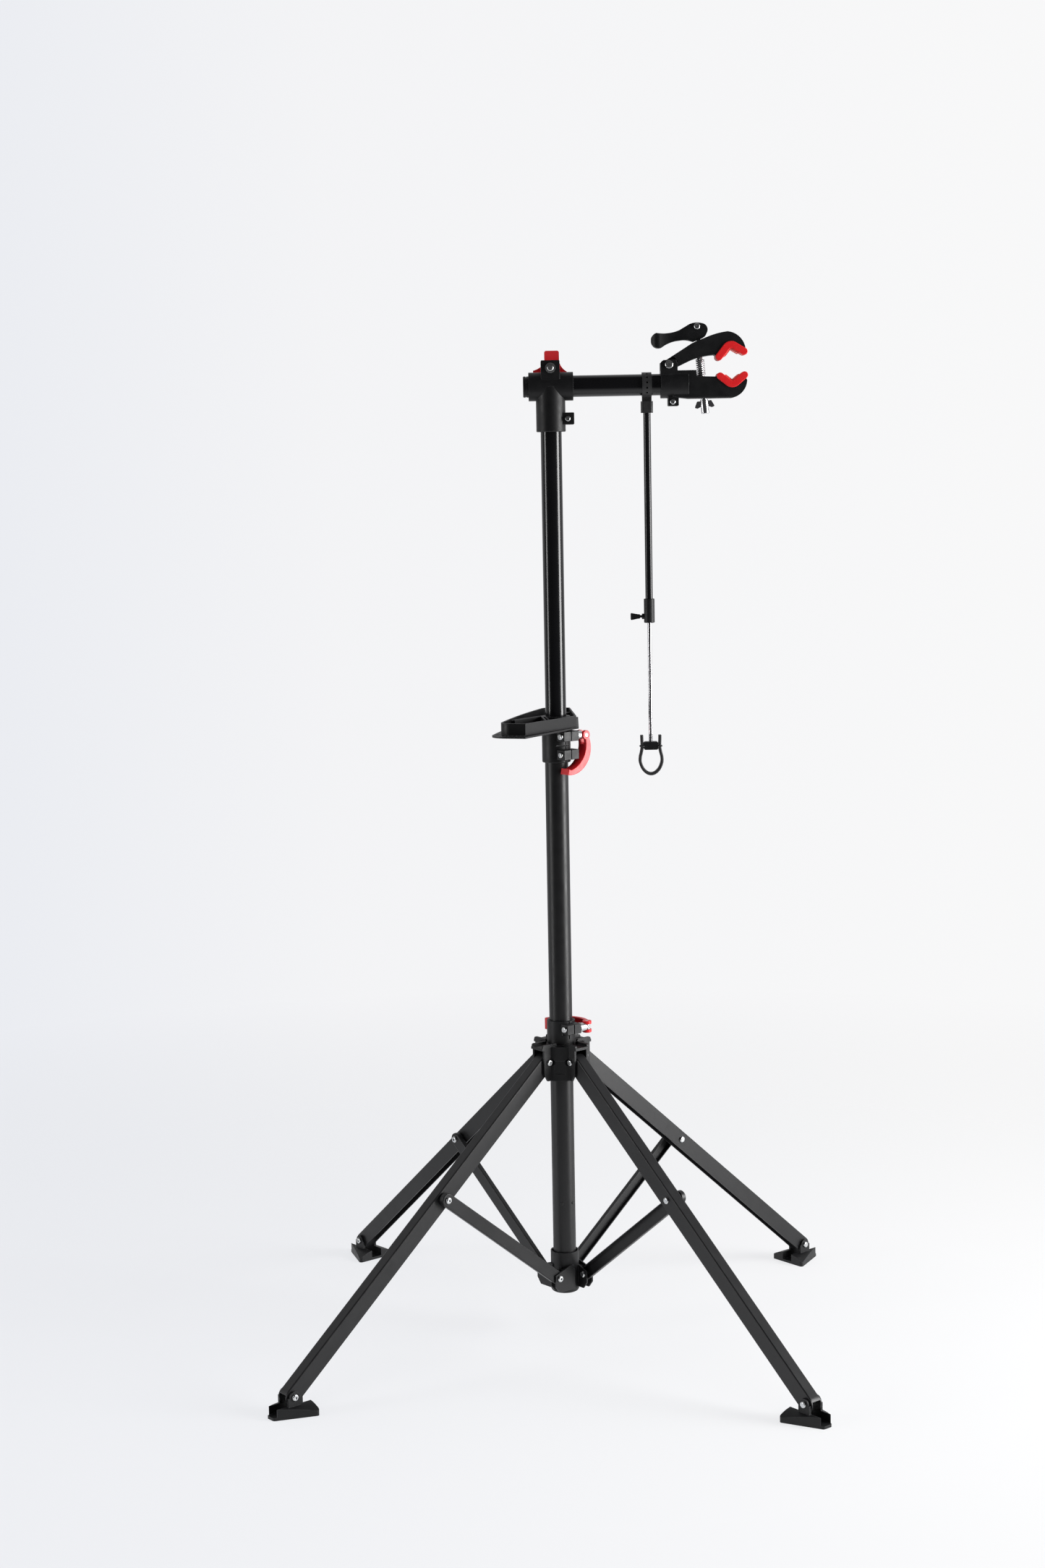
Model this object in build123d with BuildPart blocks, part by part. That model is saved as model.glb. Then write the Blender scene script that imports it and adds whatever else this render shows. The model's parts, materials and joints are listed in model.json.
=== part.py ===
from build123d import *
import os
from math import atan2, cos, degrees, hypot, radians, sin

# Folding bicycle repair stand, in millimetres.
# +Z is up, the floor is Z = 0 and the post stands on the Z axis. The clamp arm points along +X.
# Around the post, a place is given by an azimuth, a radius r outwards and a distance t sideways
# (tangentially, anticlockwise seen from above).

# ---------------------------------------------------------------- driving dimensions
LEG_AZIMUTHS = (-140.1, -50.1, 39.9, 129.9)

# post tubes
LOWER_TUBE_R = 17.5
LOWER_TUBE_BOTTOM = 82.0
LOWER_TUBE_TOP = 911.0
UPPER_TUBE_R = 15.65
UPPER_TUBE_BOTTOM = 560.0
UPPER_TUBE_TOP = 1424.0
TUBE_WALL = 1.5
SLIDE_GAP = 0.3
FIT_GAP = 0.05

# leg linkage, in the (r, z) plane of each leg
LEG_PIVOT = (36.0, 431.5)
FOOT_PIVOT = (519.6, 28.0)
STRUT_PIVOT = (30.5, 94.3)
LEG_TO_STRUT = 268.0
LEG_HALF = 9.4
LEG_OUTER = 12.0
LEG_INNER = -13.0
LEG_END_R = 12.5
SHEET = 1.5
STRUT_INNER_T = 13.0
STRUT_OUTER_T = 20.5
STRUT_HALF = 10.0
OPEN_PIVOT_GAP = 0.4
SPACER_R = 8.0

# swivelling feet: arc shoe from FOOT_INNER to FOOT_OUTER with a slotted ear around the leg
FOOT_INNER = 490.0
FOOT_OUTER = 553.0
FOOT_HALVES = (35.0, 8.0)
FOOT_TOP = 17.0
FOOT_EDGE = 5.0
FOOT_EAR_R = 8.5
FOOT_SLOT = 9.8
FOOT_SLOT_FLOOR = 4.0

# fasteners
BOLT_R = 3.0
HEAD_R = 5.0
HEAD_H = 3.2
SOCKET_R = 2.2
SOCKET_DEPTH = 1.6

# leg hub that slides on the lower tube
HUB_COLLAR_R = 21.5
HUB_TOP = 491.5
HUB_PLATE = 455.0
HUB_BOTTOM = 403.0
HUB_CORE_R = 36.0
HUB_PLATE_THICKNESS = 4.0
HUB_RIDGE = (3.6, 4.0)
HEAD_RECESS_R = 6.6
POCKET = (17.0, 21.0, 1.2)
POCKET_Z = 423.5
CLEVIS_GAP = 10.2
CLEVIS_OUT = 13.5
CLEVIS_REACH = 46.0
CLEVIS_ROOT = 22.0

# bottom hub, fixed to the lower tube
BASE_R = 21.7
BASE_BOTTOM = 64.7
BASE_TOP = 128.8
LUG_INNER_T = (10.5, 12.5)
LUG_OUTER_T = (21.0, 23.5)
LUG_REACH = 38.5
LUG_ROOT = 19.5
LUG_BOTTOM = 72.0
LUG_TOP = 110.0

# quick-release clamps: ears on a collar, a bolt across them and a crescent lever
EAR_REACH = 35.0
CLAMP_BOLT_RADIUS = 28.0
CLAMP_SLOT = 0.8
HUB_CLAMP_AZIMUTH = -55.0
HUB_CLAMP_Z = 481.0
HUB_EAR_HALF = 13.2
TRAY_CLAMP_AZIMUTH = -50.0
TRAY_CLAMP_Z = 927.8
TRAY_SCREW_Z = 900.0
TRAY_EAR_HALF = 14.8
EAR_HEIGHT = 15.0
CAM_PIVOT = 28.5
CAM_R = 7.0
PIN_R = 2.5
LEVER_WIDTH = 18.0
LEVER_ARC_R = 36.0
LEVER_ARC_CENTRE = (-30.4, 19.2)
LEVER_START = -32.3
LEVER_SWEEP = 133.0
TRAY_LEVER_DEPTH = 11.5
HUB_LEVER_DEPTH = 6.6
FORK_HALF = 4.2

# rivets that hold the sliding bush inside the lower tube
RIVET_AZIMUTHS = (-100.0, -40.0)
RIVET_Z = 206.0
RIVET_R = 2.2

# tool tray, long axis square to its symmetry axis; (a, b) is across and along
TRAY_AZIMUTH = 164.0
COLLAR_BOTTOM = 887.0
TRAY_FLOOR = 937.5
TRAY_FLOOR_THICKNESS = 2.5
TRAY_RIM = 957.0
TOOL_HOLE_R = 4.2

# T-shaped head on the upper tube, and the arm through it
ARM_Z = 1446.0
ARM_R = 15.75
ARM_START = -33.0
ARM_END = 196.0
HEAD_SLEEVE_R = 21.75
HEAD_SLEEVE_BOTTOM = 1379.6
BARREL_R = 21.0
BARREL_START = -32.4
BARREL_END = 33.6
HEAD_BOLT_Z = 1472.8
HEAD_BLOCK_HALF_X = 13.9
HEAD_BLOCK_HALF_Y = 18.5
HEAD_BLOCK_TOP = 1484.0
HEAD_CAM_Y = 31.0
TEE_LUG = (17.0, 34.4, 1390.0, 1407.5)
TEE_SCREW = (24.8, 1398.5)

# clamp jaws
JAW_HALF = 14.0
TONGUE_HALF = 8.7
JAW_PIVOT = (175.3, 1474.8)
EAR_CLEAR_R = 13.3
PAD_HALF = 16.0
PAD_WIDTH = 10.5
PAD_BEND_R = 9.0
LOWER_PAD = ((250.6, 1456.5), (268.6, 1442.4), (286.5, 1457.5))
UPPER_PAD = ((249.1, 1484.5), (264.9, 1504.8), (286.0, 1491.9))
SLEEVE_START = 163.0
SLEEVE_END = 204.0
SLEEVE_R = 20.25
JAW_BOTTOM = 1424.5
JAW_TOP = 1456.0
RIB_TOP = 1466.0
RIB_END = 215.5
JAW_EAR_TOP = 1481.4
JAW_EAR_END = 188.0
JAW_LUG = (173.7, 189.3, 1414.2)
JAW_SCREW = (180.4, 1420.4)
UPPER_JAW_TOP = ((195.6, 1496.5), (209.6, 1505.2), (230.7, 1513.6))

# draw bolt and cam lever
CAM_PIN = (217.2, 1529.5)
DRAW_TILT = 5.4
DRAW_R = 4.0
DRAW_LENGTH = 126.5
SPRING_R = 6.7
SPRING_WIRE = 1.5
SPRING_TOP = 47.2
SPRING_LENGTH = 25.0
EYE_R = 6.0
LEVER_HALF = 11.0
NUT_TOP = 106.6
NUT_HEIGHT = 21.0

# handlebar rod that hangs from the arm
ROD_X = 142.5
BAND_WIDTH = 14.0
ROD_R = 5.5
ROD_TOP = 1409.0
ROD_BOTTOM = 1112.0
COUPLER_R = 8.0
COUPLER_TOP = 1130.0
COUPLER_BOTTOM = 1094.0
INNER_ROD_R = 3.0
INNER_ROD_TOP = 1230.0
INNER_ROD_BOTTOM = 908.0
THUMB_Z = 1103.6
CRADLE_Z = (903.0, 915.0)
STRAP_THICKNESS = 4.5


# ---------------------------------------------------------------- places and planes
def polar(azimuth, r, t=0.0, z=0.0):
    """Point at radius r and sideways distance t in the frame turned to the azimuth."""
    c, s = cos(radians(azimuth)), sin(radians(azimuth))
    return (r * c - t * s, r * s + t * c, z)


def side_plane(azimuth, t=0.0):
    """Upright plane along the azimuth: local x outwards, local y up, normal towards -t."""
    return Plane(origin=polar(azimuth, 0, t), x_dir=polar(azimuth, 1), z_dir=polar(azimuth, 0, -1))


def front_plane(y):
    """Plane that faces the front: local x is X, local y is Z, normal along -Y."""
    return Plane(origin=(0, y, 0), x_dir=(1, 0, 0), z_dir=(0, -1, 0))


def end_plane(x):
    """Plane square to the arm: local x is Y, local y is Z, normal along +X."""
    return Plane(origin=(x, 0, 0), x_dir=(0, 1, 0), z_dir=(1, 0, 0))


def unit(start, end):
    """Unit vector and distance between two points of a plane."""
    dx, dy = end[0] - start[0], end[1] - start[1]
    length = hypot(dx, dy)
    return dx / length, dy / length, length


def bar_plane(azimuth, pivot, direction, along=0.0):
    """Cross-section plane of a bar: local x is sideways, local y the outer side, normal along it."""
    dr, dz = direction
    origin = polar(azimuth, pivot[0] + dr * along, 0, pivot[1] + dz * along)
    x_dir = polar(azimuth, 0, 1)
    return Plane(origin=origin, x_dir=x_dir, z_dir=polar(azimuth, dr, 0, dz))


def bar_side_plane(azimuth, pivot, direction, t=0.0):
    """Side view of a bar: local x along it, local y the outer side, normal towards -t."""
    dr, dz = direction
    origin = polar(azimuth, pivot[0], t, pivot[1])
    return Plane(origin=origin, x_dir=polar(azimuth, dr, 0, dz), z_dir=polar(azimuth, 0, -1))


def rivet_plane(azimuth):
    """Plane square to the tube wall at a rivet, just inside the wall."""
    inside = LOWER_TUBE_R - TUBE_WALL - 0.2
    return Plane(origin=polar(azimuth, inside, 0, RIVET_Z), z_dir=polar(azimuth, 1))


LEG_R, LEG_Z, LEG_LENGTH = unit(LEG_PIVOT, FOOT_PIVOT)
LEG_DIRECTION = (LEG_R, LEG_Z)
STRUT_TOP = (LEG_PIVOT[0] + LEG_R * LEG_TO_STRUT, LEG_PIVOT[1] + LEG_Z * LEG_TO_STRUT)
STRUT_R, STRUT_Z, STRUT_LENGTH = unit(STRUT_TOP, STRUT_PIVOT)


# ---------------------------------------------------------------- shapes used more than once
def cross_bolt(azimuth, place, t_nut, t_head, radius=BOLT_R, head_r=HEAD_R):
    """Bolt along t with a socket button head beyond t_head and a domed nut beyond t_nut."""
    along = Axis((0, 0, 0), polar(azimuth, 0, 1))
    with BuildPart() as bolt:
        with BuildSketch(side_plane(azimuth, t_head)):
            with Locations(place):
                Circle(radius)
        extrude(amount=t_head - t_nut)
        with BuildSketch(side_plane(azimuth, t_head + HEAD_H)):
            with Locations(place):
                Circle(head_r)
        extrude(amount=HEAD_H)
        with BuildSketch(side_plane(azimuth, t_nut)):
            with Locations(place):
                Circle(head_r)
        extrude(amount=HEAD_H)
        rims = bolt.edges().filter_by(GeomType.CIRCLE).sort_by(along)
        fillet([rims[0], rims[-1]], radius=HEAD_H * 0.6)
        with BuildSketch(side_plane(azimuth, t_head + HEAD_H)):
            with Locations(place):
                RegularPolygon(SOCKET_R, 6)
        extrude(amount=SOCKET_DEPTH, mode=Mode.SUBTRACT)
    return bolt.part


def cam_bolt(plane, face, head, eye_axis):
    """Quick-release bolt: local z runs along it, with the cam pin at z = 0.

    face is where the far ear ends and head where the near ear ends, both below zero.
    eye_axis is the local direction of the cam pin.
    """
    with BuildPart() as bolt:
        with BuildSketch(plane.offset(head)):
            Circle(BOLT_R)
        extrude(amount=-head - PIN_R)
        with BuildSketch(plane.offset(head - HEAD_H)):
            Circle(HEAD_R)
        extrude(amount=HEAD_H)
        rim = bolt.edges().filter_by(GeomType.CIRCLE).sort_by(Axis(plane.origin, plane.z_dir))
        fillet(rim[0], radius=HEAD_H * 0.6)
        with BuildSketch(Plane(plane.origin, x_dir=plane.z_dir, z_dir=eye_axis)):
            Circle(PIN_R + 2.4)
        extrude(amount=FORK_HALF - 0.4, both=True)
        with BuildSketch(Plane(plane.origin, x_dir=plane.z_dir, z_dir=eye_axis)):
            Circle(PIN_R + FIT_GAP)
        extrude(amount=FORK_HALF, both=True, mode=Mode.SUBTRACT)
    with BuildPart() as pin:
        with BuildSketch(Plane(plane.origin, x_dir=plane.z_dir, z_dir=eye_axis)):
            Circle(PIN_R)
        extrude(amount=LEVER_WIDTH / 2, both=True)
    with BuildPart() as washer:
        with BuildSketch(plane.offset(face)):
            Circle(7.5)
            Circle(BOLT_R + FIT_GAP, mode=Mode.SUBTRACT)
        extrude(amount=1.5)
    with BuildPart() as bush:
        with BuildSketch(plane.offset(face + 1.5)):
            Circle(6.8)
            Circle(BOLT_R + FIT_GAP, mode=Mode.SUBTRACT)
        extrude(amount=-face - 1.5 - 4.0)
        with BuildSketch(Plane(plane.origin, x_dir=plane.z_dir, z_dir=eye_axis)):
            Circle(CAM_R + SLIDE_GAP)
        extrude(amount=12, both=True, mode=Mode.SUBTRACT)
    return Compound(children=[bolt.part, pin.part, washer.part, bush.part])


def crescent_lever(plane, depth):
    """Cam lever: local x points away from the clamp, local y towards the tail, z is the pin.

    depth is how thick the crescent is in its middle.
    """
    cx, cy = LEVER_ARC_CENTRE
    belly = Vector(cx, cy) + Vector(LEVER_ARC_R + 3 - depth, 0).rotate(Axis.Z, LEVER_START + LEVER_SWEEP / 2)
    with BuildPart() as lever:
        with BuildSketch(Plane.XY.offset(-LEVER_WIDTH / 2)):
            with BuildLine():
                outer = CenterArc((cx, cy), LEVER_ARC_R + 3, LEVER_START, LEVER_SWEEP)
                ends = CenterArc((cx, cy), LEVER_ARC_R - 3.5, LEVER_START, LEVER_SWEEP, mode=Mode.PRIVATE)
                inner = ThreePointArc(ends @ 0, belly, ends @ 1)
                Line(outer @ 0, inner @ 0)
                Line(outer @ 1, inner @ 1)
            make_face()
            with BuildLine():
                tail_out = CenterArc((cx, cy), LEVER_ARC_R + 3, LEVER_START + LEVER_SWEEP - 16, 16)
                tail_tip = tail_out @ 1
                toe = Vector(cx, cy) + Vector(LEVER_ARC_R - 6, 0).rotate(Axis.Z, LEVER_START + LEVER_SWEEP)
                root = Vector(cx, cy) + Vector(LEVER_ARC_R - 3, 0).rotate(
                    Axis.Z, LEVER_START + LEVER_SWEEP - 16
                )
                Polyline(tail_tip, toe, root, tail_out @ 0)
            make_face()
            Circle(CAM_R)
        extrude(amount=LEVER_WIDTH)
        with BuildSketch(Plane.XY.offset(-FORK_HALF)):
            Circle(15.0)
        extrude(amount=2 * FORK_HALF, mode=Mode.SUBTRACT)
        with BuildSketch(Plane.XY.offset(-LEVER_WIDTH)):
            Circle(PIN_R + FIT_GAP)
        extrude(amount=2 * LEVER_WIDTH, mode=Mode.SUBTRACT)
        flats = lever.faces().filter_by(GeomType.PLANE).filter_by(Axis.Z)
        sides = [flats.sort_by(Axis.Z)[i] for i in (0, -1)]
        rims = [edge for face in sides for edge in face.outer_wire().edges()]
        fillet(rims, radius=1.0)
    return lever.part.moved(plane.location)


def channel_bar(azimuth, pivot, direction, length, half, outer, inner, end_r, wall):
    """Straight channel with its web on the outer side and rounded flange ends."""
    middle = (outer + inner) / 2
    depth = outer - inner
    with BuildPart() as bar:
        with BuildSketch(bar_plane(azimuth, pivot, direction, -end_r - 1)) as section:
            with Locations((0, middle)):
                Rectangle(2 * half, depth)
            fillet(section.vertices().group_by(Axis.Y)[-1], radius=wall * 1.3)
            with Locations((0, middle - wall)):
                Rectangle(2 * (half - wall), depth, mode=Mode.SUBTRACT)
        extrude(amount=length + 2 * end_r + 2)
        with BuildSketch(bar_side_plane(azimuth, pivot, direction)):
            with Locations((length / 2, middle)):
                Rectangle(length, 2 * end_r)
            with Locations((0, middle), (length, middle)):
                Circle(end_r)
        extrude(amount=3 * half, both=True, mode=Mode.INTERSECT)
    return bar.part


def clamp_ears(azimuth, half, z_mid, bolt_r=BOLT_R + 0.1):
    """Pair of clamp ears as one block, with the bolt hole through both."""
    with BuildPart() as ears:
        with BuildSketch(side_plane(azimuth, half)):
            with Locations((EAR_REACH - 8.5, z_mid)):
                Rectangle(17, EAR_HEIGHT)
            with Locations((CLAMP_BOLT_RADIUS, z_mid)):
                Circle(bolt_r, mode=Mode.SUBTRACT)
        extrude(amount=2 * half)
        chamfer(ears.edges().filter_by(GeomType.LINE), length=0.7)
    return ears.part


def chevron(points, y_half):
    """V-shaped pad block: even thickness, rounded bend and round ends."""
    with BuildPart() as block:
        with BuildSketch(front_plane(-y_half)):
            with BuildLine():
                FilletPolyline(*points, radius=PAD_BEND_R)
                offset(amount=PAD_WIDTH / 2)
            make_face()
        extrude(amount=-2 * y_half)
    return block.part


def grip_ribs(points, inward, y_half):
    """Raised grip strips along the inner side of each arm of a pad."""
    with BuildPart() as ribs:
        with BuildSketch(front_plane(-y_half)):
            for start, end in (points[:2], points[1:]):
                ux, uz, length = unit(start, end)
                shift = (PAD_WIDTH / 2 + 0.2) * inward
                middle = ((start[0] + end[0]) / 2 - uz * shift, (start[1] + end[1]) / 2 + ux * shift)
                with Locations(middle):
                    SlotOverall(length * 0.6, 3.4, rotation=degrees(atan2(uz, ux)))
        extrude(amount=-2 * y_half)
    return ribs.part


def keep(part, label):
    """Name a finished piece and write it."""
    part.label = label
    export_step(part, f"parts/{label}.step")


os.makedirs("parts", exist_ok=True)


# ---------------------------------------------------------------- post: lower tube and bottom hub
with BuildPart() as lower_tube:
    with BuildSketch(Plane.XY.offset(LOWER_TUBE_BOTTOM)):
        Circle(LOWER_TUBE_R)
        Circle(LOWER_TUBE_R - TUBE_WALL, mode=Mode.SUBTRACT)
    extrude(amount=LOWER_TUBE_TOP - LOWER_TUBE_BOTTOM)
    for azimuth in RIVET_AZIMUTHS:
        with BuildSketch(rivet_plane(azimuth)):
            Circle(RIVET_R)
        extrude(amount=5, both=True, mode=Mode.SUBTRACT)
keep(lower_tube.part, "lower_tube")

with BuildPart() as bottom_hub:
    with BuildSketch(Plane.XY.offset(BASE_BOTTOM)):
        Circle(BASE_R)
    extrude(amount=BASE_TOP - BASE_BOTTOM)
    fillet(bottom_hub.edges().sort_by(Axis.Z)[0], radius=5)
    for azimuth in LEG_AZIMUTHS:
        for t_low, t_high in (LUG_INNER_T, LUG_OUTER_T):
            with BuildSketch(side_plane(azimuth, t_high)):
                with BuildLine():
                    Polyline(
                        (2, LUG_BOTTOM), (LUG_REACH - 8, LUG_BOTTOM), (LUG_REACH, LUG_BOTTOM + 10),
                        (LUG_REACH, STRUT_PIVOT[1] + 6), (10, LUG_TOP), (2, LUG_TOP), close=True,
                    )
                make_face()
            extrude(amount=t_high - t_low)
        with BuildSketch(side_plane(azimuth, LUG_OUTER_T[1])):
            with Locations((LUG_ROOT / 2, (LUG_BOTTOM + LUG_TOP - 6) / 2)):
                Rectangle(LUG_ROOT, LUG_TOP - 6 - LUG_BOTTOM)
        extrude(amount=LUG_OUTER_T[1] - LUG_INNER_T[0])
        with BuildSketch(side_plane(azimuth, LUG_OUTER_T[1] + 1)):
            with Locations(STRUT_PIVOT):
                Circle(BOLT_R + FIT_GAP)
        extrude(amount=LUG_OUTER_T[1] - LUG_INNER_T[0] + 2, mode=Mode.SUBTRACT)
    with BuildSketch(Plane.XY.offset(LOWER_TUBE_BOTTOM)):
        Circle(LOWER_TUBE_R + FIT_GAP)
    extrude(amount=BASE_TOP, mode=Mode.SUBTRACT)
    with BuildSketch(Plane.XY.offset(BASE_TOP - 16)):
        Circle(LOWER_TUBE_R + 2.2)
    extrude(amount=20, mode=Mode.SUBTRACT)
keep(bottom_hub.part, "bottom_hub")

base_bolts = [
    cross_bolt(azimuth, STRUT_PIVOT, LUG_INNER_T[0], LUG_OUTER_T[1]) for azimuth in LEG_AZIMUTHS
]
keep(Compound(children=base_bolts), "bottom_hub_bolts")

rivets = []
for azimuth in RIVET_AZIMUTHS:
    with BuildPart() as rivet:
        with BuildSketch(rivet_plane(azimuth)):
            Circle(RIVET_R)
        extrude(amount=TUBE_WALL + 1.2)
        fillet(rivet.faces().sort_by(Axis((0, 0, 0), polar(azimuth, 1)))[-1].edges(), radius=0.5)
    rivets.append(rivet.part)
keep(Compound(children=rivets), "column_rivets")

# ---------------------------------------------------------------- tray collar and its clamps
with BuildPart() as tray_collar:
    with BuildSketch(Plane.XY.offset(COLLAR_BOTTOM)):
        Circle(HUB_COLLAR_R)
    extrude(amount=TRAY_FLOOR - COLLAR_BOTTOM)
    chamfer(tray_collar.edges().sort_by(Axis.Z)[0], length=0.8)
    add(clamp_ears(TRAY_CLAMP_AZIMUTH, TRAY_EAR_HALF, TRAY_CLAMP_Z))
    add(clamp_ears(TRAY_CLAMP_AZIMUTH, TRAY_EAR_HALF, TRAY_SCREW_Z, 2.6))
    with BuildSketch(Plane.XY.offset(COLLAR_BOTTOM - 1)):
        Circle(LOWER_TUBE_R + FIT_GAP)
    extrude(amount=LOWER_TUBE_TOP - COLLAR_BOTTOM + 1, mode=Mode.SUBTRACT)
    with BuildSketch(Plane.XY.offset(COLLAR_BOTTOM)):
        Circle(UPPER_TUBE_R + SLIDE_GAP)
    extrude(amount=60, mode=Mode.SUBTRACT)
    with BuildSketch(side_plane(TRAY_CLAMP_AZIMUTH, CLAMP_SLOT)):
        with Locations((28, (COLLAR_BOTTOM + TRAY_FLOOR) / 2)):
            Rectangle(30, TRAY_FLOOR - COLLAR_BOTTOM + 2)
    extrude(amount=2 * CLAMP_SLOT, mode=Mode.SUBTRACT)
    with BuildSketch(side_plane(TRAY_CLAMP_AZIMUTH, 14)):
        with Locations((26, LOWER_TUBE_TOP + 2)):
            Rectangle(20, 1.6)
    extrude(amount=28, mode=Mode.SUBTRACT)
keep(tray_collar.part, "tray_collar")

collar_screw_place = (CLAMP_BOLT_RADIUS, TRAY_SCREW_Z)
collar_screw = cross_bolt(TRAY_CLAMP_AZIMUTH, collar_screw_place, -TRAY_EAR_HALF, TRAY_EAR_HALF, 2.5, 4.4)
keep(collar_screw, "collar_screw")

tray_bolt_plane = Plane(
    origin=polar(TRAY_CLAMP_AZIMUTH, CLAMP_BOLT_RADIUS, CAM_PIVOT, TRAY_CLAMP_Z),
    x_dir=(0, 0, 1),
    z_dir=polar(TRAY_CLAMP_AZIMUTH, 0, 1),
)
tray_pin_axis = polar(TRAY_CLAMP_AZIMUTH, 1)
collar_cam_bolt = cam_bolt(
    tray_bolt_plane, TRAY_EAR_HALF - CAM_PIVOT, -TRAY_EAR_HALF - CAM_PIVOT, tray_pin_axis
)
keep(collar_cam_bolt, "collar_cam_bolt")
tray_lever_plane = Plane(
    origin=tray_bolt_plane.origin,
    x_dir=polar(TRAY_CLAMP_AZIMUTH, 0, 1),
    z_dir=polar(TRAY_CLAMP_AZIMUTH, -1),
)
keep(crescent_lever(tray_lever_plane, TRAY_LEVER_DEPTH), "tray_lever")

# ---------------------------------------------------------------- tool tray
TRAY_PLANE = Plane(origin=(0, 0, 0), x_dir=polar(TRAY_AZIMUTH, 1), z_dir=(0, 0, 1))


def tray_outline(apex, side, end, back, bulge, side_r, back_r):
    """Bow-shaped outline: blunt apex, two flared sides, round ends and a bowed back."""
    with BuildSketch() as outline:
        with BuildLine():
            Polyline((back, -end), (side, -end), (apex, 0), (side, end), (back, end))
            ThreePointArc((back, end), (back + bulge, 0), (back, -end))
        make_face()
        corners = outline.vertices().sort_by(Axis.X)
        fillet(corners[3:], radius=back_r)
        fillet(corners[1:3], radius=side_r)
        fillet(corners[0], radius=12)
    return outline.sketch


ring_outer = tray_outline(-31.8, 11.7, 126.5, 52, 5, 28, 17)
ring_inner = tray_outline(-29.0, 12.9, 123.8, 49.4, 5, 25.3, 14.5)
brim_outline = tray_outline(-35.4, 5.0, 151.0, 60, 7, 32, 26)

with BuildPart() as tool_tray:
    with BuildSketch(TRAY_PLANE.offset(TRAY_FLOOR)):
        add(brim_outline)
    extrude(amount=TRAY_FLOOR_THICKNESS)
    with BuildSketch(TRAY_PLANE.offset(TRAY_FLOOR)):
        add(ring_outer)
        add(ring_inner, mode=Mode.SUBTRACT)
    extrude(amount=TRAY_RIM - TRAY_FLOOR)
    with BuildSketch(TRAY_PLANE.offset(TRAY_FLOOR)) as ribs:
        Circle(HUB_COLLAR_R)
        for turn, centre, length in ((21.2, (24.4, 3.4), 140), (-21.2, (10.6, 32.2), 70)):
            with Locations(Location((centre[0], centre[1], 0), (0, 0, 90 - turn))):
                Rectangle(length, 2)
                with Locations((0, 5.5)):
                    Rectangle(length, 2)
        add(ring_outer, mode=Mode.INTERSECT)
    extrude(amount=TRAY_RIM - TRAY_FLOOR - 0.6)
    with BuildSketch(TRAY_PLANE.offset(TRAY_FLOOR)):
        Circle(UPPER_TUBE_R + SLIDE_GAP)
        for side in (-1, 1):
            for across, along in ((8, 133), (19, 138.5), (31, 139.5), (43, 136), (55, 124)):
                with Locations((across, side * along)):
                    Circle(TOOL_HOLE_R)
    extrude(amount=30, mode=Mode.SUBTRACT)
keep(tool_tray.part, "tool_tray")

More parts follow.
